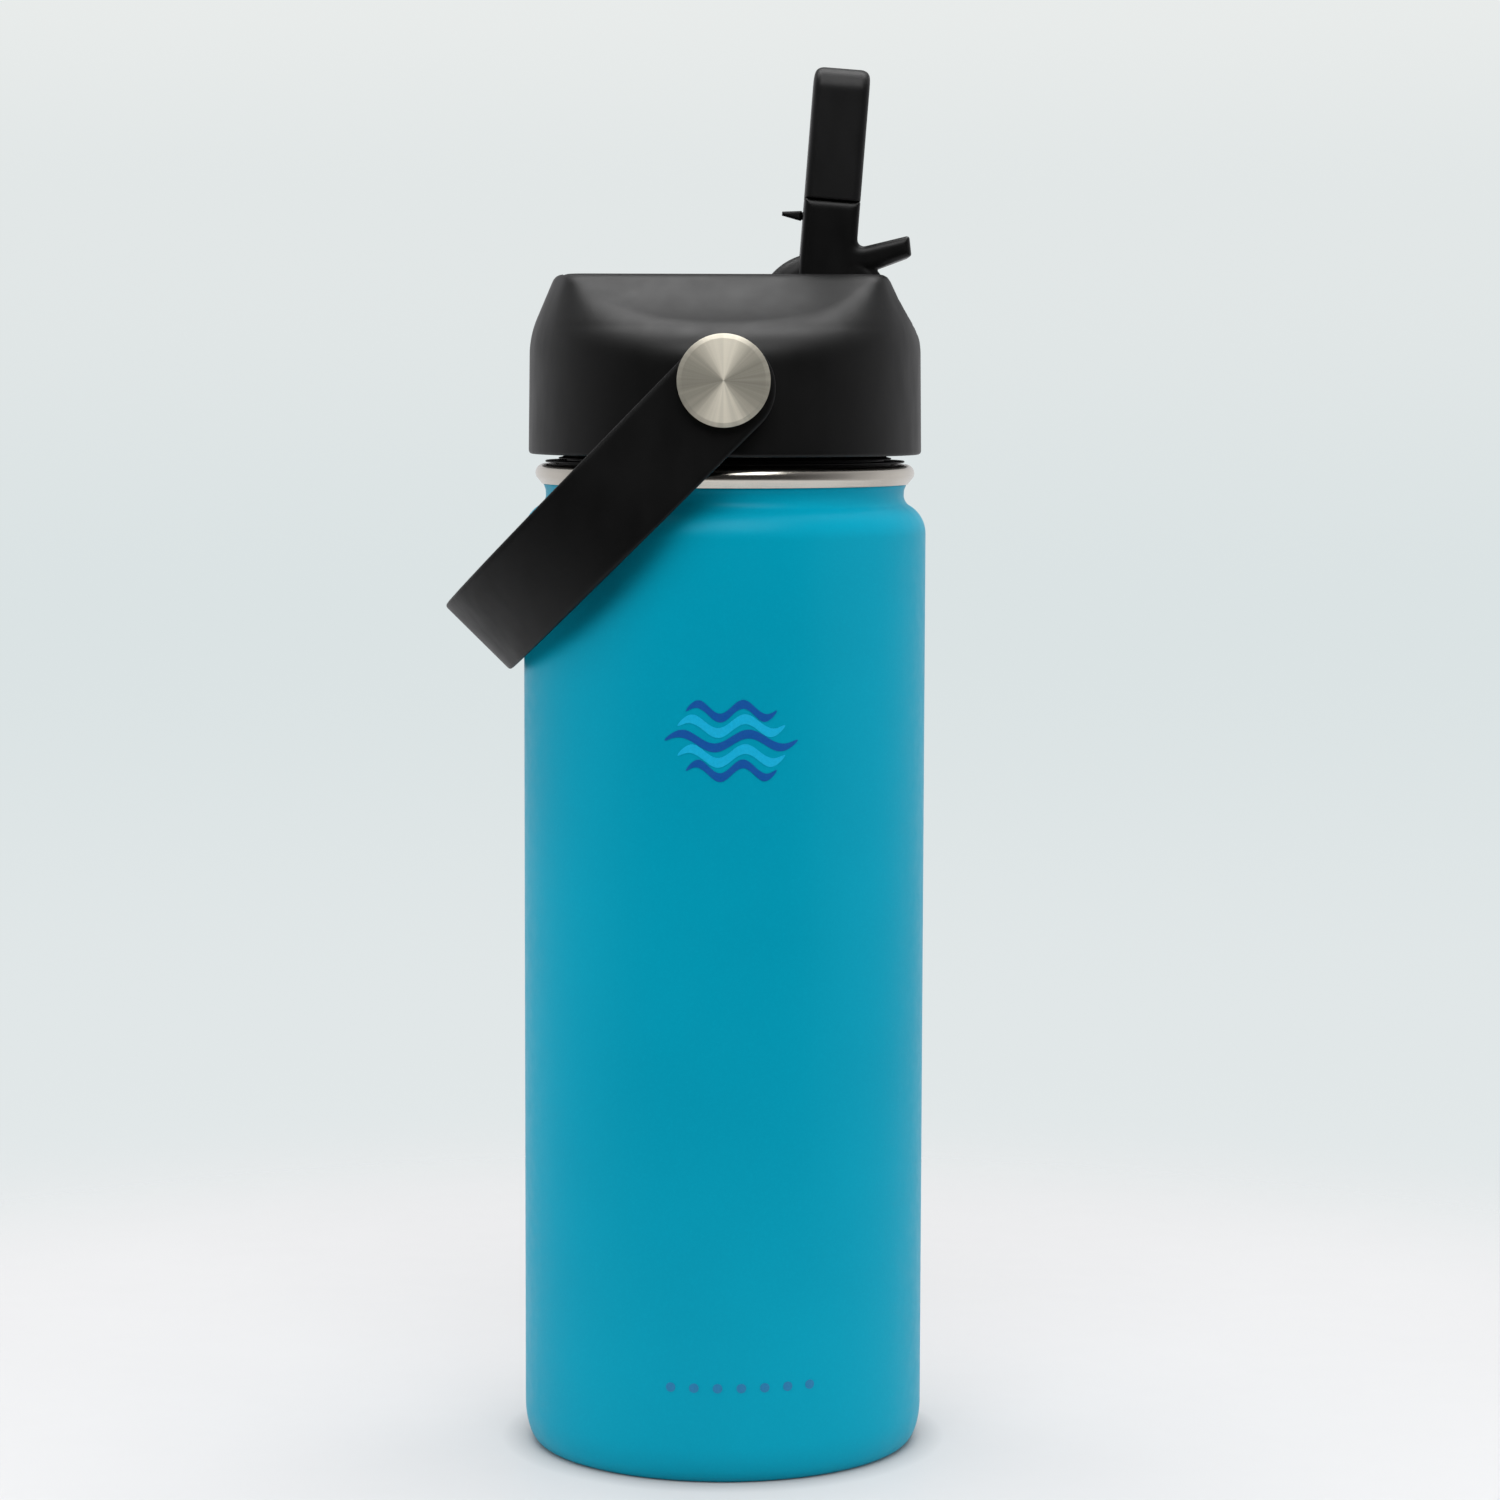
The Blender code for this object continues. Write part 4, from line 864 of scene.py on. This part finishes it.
def cap_field(x, y, z):
    """The whole cap: turned body, two scoops, slot, hinge drum, inside, passages and pin holes."""
    top_edge = 1.3
    foot_edge = 0.7
    floor_edge = 1.2
    slot_edge = 0.6
    slot_mouth_edge = 0.7
    wall_edge = 0.4
    pocket_start = 1.0
    drum_edge = 3.5
    inside_edge = 0.8
    r = np.sqrt(x ** 2 + y ** 2)
    scoop = meet(above_slope(y, z, *SCOOP_TOP), above_slope(y, z, *SCOOP_LOW), SCOOP_BEND)
    solid = carve(cap_side(r, z), scoop, np.interp(z, SCOOP_ROLL_Z, SCOOP_ROLL))
    solid = meet(solid, z - CAP_TOP, top_edge)
    solid = meet(solid, CAP_LOW - z, foot_edge)
    hub = np.sqrt((x - HINGE.x) ** 2 + (z - HINGE.z) ** 2)
    trough = meet(meet(SLOT_END - x, SLOT_FLOOR - z, floor_edge), x - HINGE.x, wall_edge)
    pocket = meet(meet(hub - POCKET_R, POCKET_FLOOR - z, 0.5), HINGE.x - x - pocket_start, wall_edge)
    slot = meet(np.minimum(trough, pocket), np.abs(y) - SLOT_HALF, slot_edge)
    solid = carve(solid, slot, slot_mouth_edge)
    below = np.minimum(z - EXIT_Z, 0.0)
    way_out = np.maximum(np.sqrt(y ** 2 + below ** 2) - EXIT_R, EXIT_START - x)
    solid = carve(solid, way_out, 1.0)
    drum = meet(hub - DRUM_R, np.abs(y) - DRUM_HALF, drum_edge)
    solid = fuse(solid, drum, 0.5)
    solid = carve(solid, meet(r - CAP_INSIDE_R, z - ROOF, inside_edge), wall_edge)
    for passage, edge in cap_passages(x, y, z, hub):
        solid = carve(solid, passage, edge)
    return solid


def build_cap():
    """The cap's fine surface."""
    edge_lines = [-SLOT_HALF, SLOT_HALF, -DRUM_HALF, DRUM_HALF]
    reach = CAP_R + 1
    axes = [
        grid_lines(-reach, reach, 0.75, 0.4, [SLOT_END, HINGE.x]),
        grid_lines(-reach, reach, 0.75, 0.32, edge_lines),
        grid_lines(CAP_LOW - 0.8, CAP_TOP + 4.5, 0.7, 0.32, [CAP_LOW, ROOF, SLOT_FLOOR, CAP_TOP]),
    ]
    mesh = surface_mesh("cap_body", cap_field, axes)
    piece("cap_body", mesh, "lid", CAP_PLASTIC, "cap_plastic", ["cap_shell"])


def build_gasket():
    """Gasket with a thin flange over the rim and two grooves inside the mouth."""
    lip_out, lip_in = 30.1, 29.0
    flange_edge = 0.17
    groove = 0.2
    ring = [(lip_in, GASKET_TOP)]
    ring += arc((GASKET_R - flange_edge, GASKET_TOP - flange_edge), flange_edge, 90, -90, 8)
    ring += [(lip_out, GASKET_LOW + 1.9)]
    for at in (GASKET_LOW + 1.4, GASKET_LOW + 0.7):
        ring += [(lip_out, at), (lip_out - groove, at - groove), (lip_out, at - 2 * groove)]
    ring += [(lip_out - 0.1, GASKET_LOW), (lip_in, GASKET_LOW)]
    turned_piece("gasket_ring", ring, "lid_seal", SOFT_BLACK, "black_silicone", ["lid_gasket"], closed=True)


def build_core():
    """The plug with its collar, thread, straw nozzle and vent tube, and the straw."""
    looks = ("lid", CORE_PLASTIC, "core_plastic")
    plug = 28.7
    edge = 0.3
    collar = 180.45
    collar_edge = 0.1
    bend = 1.3
    bend_z = 182.0
    core = [(0.0, 165.0), (26.2, 165.0), (26.7, 165.5), (26.7, PLUG_TOP - edge), (27.0, PLUG_TOP),
            (plug - edge, PLUG_TOP), (plug, PLUG_TOP - edge), (plug, bend_z)]
    core += arc((plug + bend, bend_z), bend, 180, 250, 8)
    core += arc((COLLAR_R - collar_edge, collar + collar_edge), collar_edge, 70, -90, 4)
    core += [(plug, collar), (plug, 164.4)] + arc((plug - 1.2, 164.2), 1.2, 0, -90, 6) + [(0.0, 163.0)]
    turned_piece("core_plug", core, *looks, ["lid_core"])
    piece("core_thread", helix("core_thread", 29.0, 1.0, 167.0), *looks)
    nozzle = [(2.1, 196.6), (3.2, 196.6), (3.4, 196.4), (3.4, 163.5), (3.0, 162.9)]
    for at in (160.0, 157.0, 154.0):
        nozzle += [(2.6, at + 0.6), (3.0, at), (2.6, at - 1.6)]
    nozzle += [(2.5, 152.0), (2.1, 152.0)]
    turned_piece("core_nozzle", nozzle, *looks, location=(HINGE.x, 0, 0), closed=True, around=64)
    vent = [(1.2, 193.5), (3.0, 193.5), (3.2, 193.3), (3.2, 165.5), (4.0, 164.9), (1.2, 164.9)]
    turned_piece("core_vent_tube", vent, *looks, location=(VENT_X, 0, 0), closed=True, around=64)
    tube = [(3.3, 162.7), (3.45, 162.8), (3.75, 162.7), (3.9, 162.5),
            (3.9, 12.3), (3.75, 12.0), (3.45, 12.0), (3.3, 12.3)]
    turned_piece("straw_tube", tube, "lid", STRAW_PLASTIC, "straw_plastic", ["straw"], (HINGE.x, 0, 0),
                 closed=True, around=64)


def build_pivots():
    """Buttons with bevelled edges, pivot pins and washers, on both sides of the cap."""
    back = STRAP_Y + 0.3
    face = BUTTON_Y
    button = [(0.0, face), (BUTTON_R - 0.95, face), (BUTTON_R - 0.8, face - 0.03),
              (BUTTON_R - 0.25, face - 0.38)]
    button += arc((BUTTON_R - 0.3, face - 0.72), 0.3, 45, 0, 3)
    button += arc((BUTTON_R - 0.2, back + 0.2), 0.2, 0, -90, 3) + [(0.0, back)]
    pin = [(0.0, STRAP_Y), (2.4, STRAP_Y), (2.6, STRAP_Y - 0.2), (2.6, 32.8), (2.2, 32.6), (2.2, 31.7),
           (2.6, 31.5), (2.6, 30.9), (2.3, 30.6), (0.0, 30.6)]
    washer = [(2.9, 36.6), (6.8, 36.6), (7.0, 36.4), (7.0, 35.95), (6.8, 35.75), (2.9, 35.75)]
    for label, turn in (("near", (0, 0, 0)), ("far", (0, 0, math.pi))):
        place = {"location": (0, 0, PIVOT_Z), "turn": turn, "axis": "Y"}
        turned_piece(f"button_{label}_face", button, "lid", FACE_STEEL, "button_steel", [f"button_{label}"],
                     around=192, sharp=15, **place)
        turned_piece(f"pivot_pin_{label}_shaft", pin, "lid", PIN_STEEL, "bare_steel",
                     [f"pivot_pin_{label}"], around=64, **place)
        turned_piece(f"washer_{label}_ring", washer, "lid", SOFT_BLACK, "washer_nylon", [f"washer_{label}"],
                     closed=True, around=96, **place)


# ---------------------------------------------------------------- spout

def spout_base_field(x, y, z):
    """Fork cheeks, body, sealing shoe and thumb tab, with the drum's room and the bores cut out."""
    edge = 0.15
    side_edge = 1.5
    trim = 0.3
    tab_foot = 9.5
    tab_fillet = 1.6
    shoe_r = 13.2
    shoe_top = 11.5
    shoe_turn = math.radians(-20)
    web_r = 12.5
    gap_top = 4.5
    seat_r = 3.6
    seat_z = (8.0, 14.9)
    hub = np.sqrt(x ** 2 + z ** 2)
    body = meet(slab(x, SPOUT_LEFT, SPOUT_RIGHT), slab(z, -0.5, SPOUT_SEAM), edge)
    body = np.minimum(body, hub + SPOUT_LEFT)
    tab = polygon_field(x, z, TAB_CORNERS) - TAB_ROUND
    body = np.minimum(body, fuse(np.maximum(body, tab_foot - z), tab, tab_fillet))
    shoe_end = x * math.sin(shoe_turn) - z * math.cos(shoe_turn)
    shoe = meet(hub - shoe_r, np.maximum(shoe_end, -x), 0.5)
    shoe = np.maximum(np.maximum(shoe, z - shoe_top), DRUM_ROOM_R - hub)
    web = np.maximum(np.maximum(hub - web_r, 4.0 - x), 5.0 - z)
    gap = np.maximum(np.maximum(hub - DRUM_ROOM_R, SPOUT_RIGHT - x), z - gap_top)
    body = carve(np.minimum(fuse(body, shoe, trim), web), gap, trim)
    body = meet(body, np.abs(y) - SPOUT_HALF, side_edge)
    drum_room = np.maximum(hub - DRUM_ROOM_R, np.abs(y) - DRUM_ROOM_HALF)
    body = carve(body, drum_room, trim)
    middle = (SPOUT_LEFT + SPOUT_RIGHT) / 2
    half_x, half_y = SPIGOT_HALF
    spigot = round_box(x, y, z, (middle - half_x, -half_y, SPOUT_SEAM - 3),
                       (middle + half_x, half_y, SPIGOT_TOP), 0.6)
    body = fuse(body, spigot, 0.2)
    radius = np.sqrt(x ** 2 + y ** 2)
    body = carve(body, np.maximum(radius - WATER_R, seat_z[0] - z), trim)
    body = carve(body, np.maximum(radius - seat_r, slab(z, *seat_z)), 0.2)
    return carve(body, hub - HINGE_HOLE_R, trim)


def mouthpiece_field(x, y, z):
    """Soft mouthpiece: rounded block with big corners across its width, socket and oval bore."""
    foot = SPOUT_SEAM + 0.06
    foot_edge = 0.15
    corner = 4.0
    side_edge = 1.9
    socket_gap = 0.3
    bore_x, bore_y = 1.7, 3.2
    bore_edge = 0.9
    dy = np.maximum(np.abs(y) - (SPOUT_HALF - corner), 0.0)
    dz = np.maximum(z - (SPOUT_TIP - corner), 0.0)
    face = np.sqrt(dy ** 2 + dz ** 2) - corner
    block = meet(meet(face, x - SPOUT_RIGHT, side_edge), SPOUT_LEFT - x, side_edge)
    block = meet(block, foot - z, foot_edge)
    middle = (SPOUT_LEFT + SPOUT_RIGHT) / 2
    half_x, half_y = (half + socket_gap for half in SPIGOT_HALF)
    socket = round_box(x, y, z, (middle - half_x, -half_y, foot - 5),
                       (middle + half_x, half_y, SPIGOT_TOP + socket_gap), 0.6)
    block = carve(block, socket, 0.3)
    oval = (np.sqrt(((x - middle) / bore_x) ** 2 + (y / bore_y) ** 2) - 1.0) * bore_x
    return carve(block, np.maximum(oval, SPIGOT_TOP - 1.0 - z), bore_edge)


def tooth_field(x, y, z):
    """Tapered vent plug with a short stem."""
    half = 1.2
    stem_r = 0.7
    stem_z = 17.9
    corners = [(-8.2, 17.7), (-8.2, 18.4), (SPOUT_LEFT - 0.3, 18.8), (SPOUT_LEFT - 0.3, 17.0)]
    plug = meet(polygon_field(x, z, corners), np.abs(y) - half, 0.5)
    stem = np.sqrt(y ** 2 + (z - stem_z) ** 2) - stem_r
    stem = np.maximum(stem, slab(x, SPOUT_LEFT - 1.3, SPOUT_LEFT + 1.0))
    return fuse(plug, stem, 0.2)


def build_spout():
    """The three visible pieces of the spout, made upright and leaned to the open position."""
    place = (HINGE, (0, LEAN, 0))
    axes = [
        grid_lines(-5.5, 17.2, 0.42, 0.28, [SPOUT_LEFT, SPOUT_RIGHT, 15.4]),
        grid_lines(-9.2, 9.4, 0.5, 0.28, [-SPOUT_HALF, SPOUT_HALF, -DRUM_ROOM_HALF, DRUM_ROOM_HALF]),
        grid_lines(-5.6, 32.0, 0.42, 0.24, [SPOUT_SEAM, 14.0]),
    ]
    mesh = surface_mesh("spout_lower", spout_base_field, axes)
    piece("spout_lower", mesh, "spout", SPOUT_PLASTIC, "spout_plastic", ["spout_base"], *place)
    axes = [
        grid_lines(-5.2, 6.4, 0.4, 0.28, [SPOUT_LEFT, SPOUT_RIGHT]),
        grid_lines(-9.3, 9.4, 0.5, 0.3, [-SPOUT_HALF, SPOUT_HALF]),
        grid_lines(SPOUT_SEAM - 0.6, SPOUT_TIP + 0.8, 0.45, 0.24, [SPOUT_SEAM, SPOUT_TIP]),
    ]
    mesh = surface_mesh("spout_mouthpiece", mouthpiece_field, axes)
    piece("spout_mouthpiece", mesh, "spout", SOFT_BLACK, "black_silicone", ["mouthpiece"], *place)
    axes = [grid_lines(-9.0, -2.9, 0.13, 0.13, []), grid_lines(-1.6, 1.7, 0.15, 0.15, []),
            grid_lines(16.6, 19.3, 0.12, 0.12, [])]
    mesh = surface_mesh("vent_plug", tooth_field, axes)
    piece("vent_plug", mesh, "spout", SOFT_BLACK, "black_silicone", ["vent_tooth"], *place)


# ---------------------------------------------------------------- handle

def strap_field(u, y, w):
    """One arched strap along u, with rounded edges, round pivot ends and pin holes."""
    middle_r = STRAP_Y - STRAP_THICK / 2
    past = np.maximum(u - STRAP_STRAIGHT, 0.0)
    reach = np.sqrt(past ** 2 + y ** 2)
    thick = np.abs(reach - middle_r) - STRAP_THICK / 2
    along = u - STRAP_EYE_U
    across = np.abs(w - STRAP_OFFSET)
    width = np.where(along < 0, np.sqrt(along ** 2 + across ** 2), across + STRAP_TAPER * along)
    solid = meet(thick, width - STRAP_EYE_R, STRAP_EDGE)
    hole = np.sqrt(u ** 2 + w ** 2) - STRAP_HOLE_R
    return carve(solid, hole, 0.3)


def build_handle():
    """The carry handle, in its pivot frame and turned to its rest angle."""
    reach = STRAP_STRAIGHT + STRAP_Y
    margin = 0.9
    step = 0.62
    far_w = STRAP_EYE_R + margin
    edges_w = [STRAP_OFFSET - STRAP_EYE_R, STRAP_OFFSET + STRAP_EYE_R]
    axes = [
        grid_lines(-8.9, reach + margin, step, 0.4, [reach - 1.2]),
        grid_lines(-STRAP_Y - margin, STRAP_Y + margin, step, 0.4, [-STRAP_Y, STRAP_Y]),
        grid_lines(STRAP_OFFSET - far_w, STRAP_OFFSET + far_w, step, 0.26, edges_w),
    ]
    mesh = surface_mesh("carry_handle", strap_field, axes)
    piece("carry_handle", mesh, "handle", STRAP_PLASTIC, "handle_plastic", ["handle"],
          (0, 0, PIVOT_Z), (0, HANDLE_ANGLE, 0))


def finish_hidden_parts():
    """Give the CAD parts that stay their own finishes."""
    finishes = [
        (DULL_METAL, ["vacuum_seal_bead", "getter_tablet"]),
        (PIN_STEEL, ["getter_bracket", "hinge_pin_near", "hinge_pin_far", "clip_near", "clip_far"]),
        (SOFT_BLACK, ["nozzle_seal", "vent_valve", "vent_grommet", "spout_seal"]),
    ]
    for finish, names in finishes:
        for name in names:
            mesh = NODES[name].data
            mesh.materials.clear()
            mesh.materials.append(finish)


# ---------------------------------------------------------------- stage, light and camera

def build_stage():
    """A pale floor that glows to lift its shade and fades into the surroundings; the glow stops under the
    base, a painted contact shadow.
    """
    painted_glow = 0.22
    painted_shadow_radii = (0.034, 0.041)
    fades = (0.16, 0.36)
    made = Finish("floor_glow_painted_shadow")
    parts = made.add("ShaderNodeVectorMath", operation="LENGTH")
    made.set(parts, 0, made.place)
    radius = parts.outputs["Value"]
    # Painted light: the floor glows like a lamp, and the glow fades out just round the base as a painted
    # contact shadow.
    made.look(Base_Color=srgb(177, 177, 178),
              Emission_Color=srgb(255, 255, 255),
              Emission_Strength=made.spread(radius, 0.0, painted_glow, *painted_shadow_radii),
              Alpha=made.spread(radius, 1.0, 0.0, *fades, "SMOOTHERSTEP"),
              Specular_IOR_Level=0.3,
              Roughness=made.spread(made.noise(0.05, 2.0), 0.5, 0.6))
    mesh = bpy.data.meshes.new("floor")
    shape = bmesh.new()
    bmesh.ops.create_circle(shape, cap_ends=True, segments=128, radius=0.4)
    shape.to_mesh(mesh)
    shape.free()
    floor = bpy.data.objects.new("floor", mesh)
    bpy.context.scene.collection.objects.link(floor)
    mesh.materials.append(made.material)


def greys(*stops):
    """Ramp stops of near-neutral greys from (position, level) pairs."""
    return [(position, (level, level, level * 1.01, 1.0)) for position, level in stops]


def build_world():
    """Pale surroundings: brighter behind, above and at the sides than in front of the object."""
    world = bpy.data.worlds.new("studio")
    bpy.context.scene.world = world
    made = Graph(world)
    split = made.add("ShaderNodeSeparateXYZ")
    made.set(split, "Vector", made.add("ShaderNodeTexCoord").outputs["Generated"])
    ahead = made.spread(split.outputs["Y"], 0.0, 1.0, -1.0, 1.0)
    height = made.spread(split.outputs["Z"], 0.0, 1.0, -1.0, 1.0)
    beside = made.spread(made.math("ABSOLUTE", split.outputs["X"]), 0.0, 1.0, 0.25, 0.65, "SMOOTHSTEP")
    depth = made.ramp(ahead, greys((0.0, 0.03), (0.10, 0.06), (0.22, 0.15), (0.36, 0.30), (0.52, 0.52),
                                   (0.75, 0.75), (1.0, 0.80)))
    facing = made.ramp(height, greys((0.0, 0.9), (0.5, 1.0), (0.59, 0.9), (0.68, 0.35), (0.8, 0.2),
                                     (1.0, 0.25)))
    sides = made.ramp(height, greys((0.0, 0.9), (0.5, 1.0), (0.6, 0.95), (0.7, 0.85), (0.85, 0.9),
                                    (1.0, 1.0)))
    lit = made.mix(1.0, depth, made.mix(beside, facing, sides), "MULTIPLY")
    seen = made.ramp(height, [(0.0, srgb(238, 241, 242)), (0.37, srgb(234, 238, 239)),
                              (0.42, srgb(225, 231, 232)), (0.47, srgb(219, 227, 228)),
                              (0.52, srgb(226, 231, 231)), (0.55, srgb(233, 236, 235))])
    direct = made.add("ShaderNodeLightPath").outputs["Is Camera Ray"]
    made.set(made.nodes["Background"], "Color", made.mix(direct, lit, seen))


def soft_light(name, location, target, size, power, reflected=True):
    """A large soft lamp aimed at a point, seen or not seen in reflections."""
    lamp = bpy.data.lights.new(name, "AREA")
    lamp.shape = "RECTANGLE"
    lamp.size, lamp.size_y = size
    lamp.energy = power
    thing = bpy.data.objects.new(name, lamp)
    thing.location = location
    aim = Vector(target) - Vector(location)
    thing.rotation_euler = aim.to_track_quat("-Z", "Y").to_euler()
    thing.visible_glossy = reflected
    bpy.context.scene.collection.objects.link(thing)


def build_lights():
    """An overhead softbox, an upper front light, and two side fills that give no reflections."""
    middle = (0, 0, 0.12)
    soft_light("overhead", (0.0, 0.2, 0.95), middle, (1.0, 0.5), 8.0)
    soft_light("upper_front", (0.0, -0.55, 0.85), middle, (0.8, 0.6), 7.2)
    for side, x in (("left", -1.1), ("right", 1.1)):
        soft_light(f"{side}_fill", (x, -0.45, 0.3), middle, (0.8, 0.8), 7.7, False)


def build_camera():
    """The viewing angle: level with the lid and tilted down a little."""
    tilt = Matrix.Rotation(math.radians(84.75), 4, "X")
    roll = Matrix.Rotation(math.radians(0.164), 4, "Z")
    camera = bpy.data.objects.new("camera", bpy.data.cameras.new("camera"))
    bpy.context.scene.collection.objects.link(camera)
    camera.data.lens = 97.4
    camera.data.sensor_width = 36.0
    camera.data.clip_start = 0.01
    camera.location = (0.0047, -0.739, 0.1952)
    camera.rotation_euler = (tilt @ roll).to_euler()
    bpy.context.scene.camera = camera
    bpy.context.scene.view_settings.view_transform = "Standard"


build_flask()
build_print()
build_gasket()
build_core()
build_cap()
build_pivots()
build_spout()
build_handle()
finish_hidden_parts()
build_stage()
build_world()
build_lights()
build_camera()
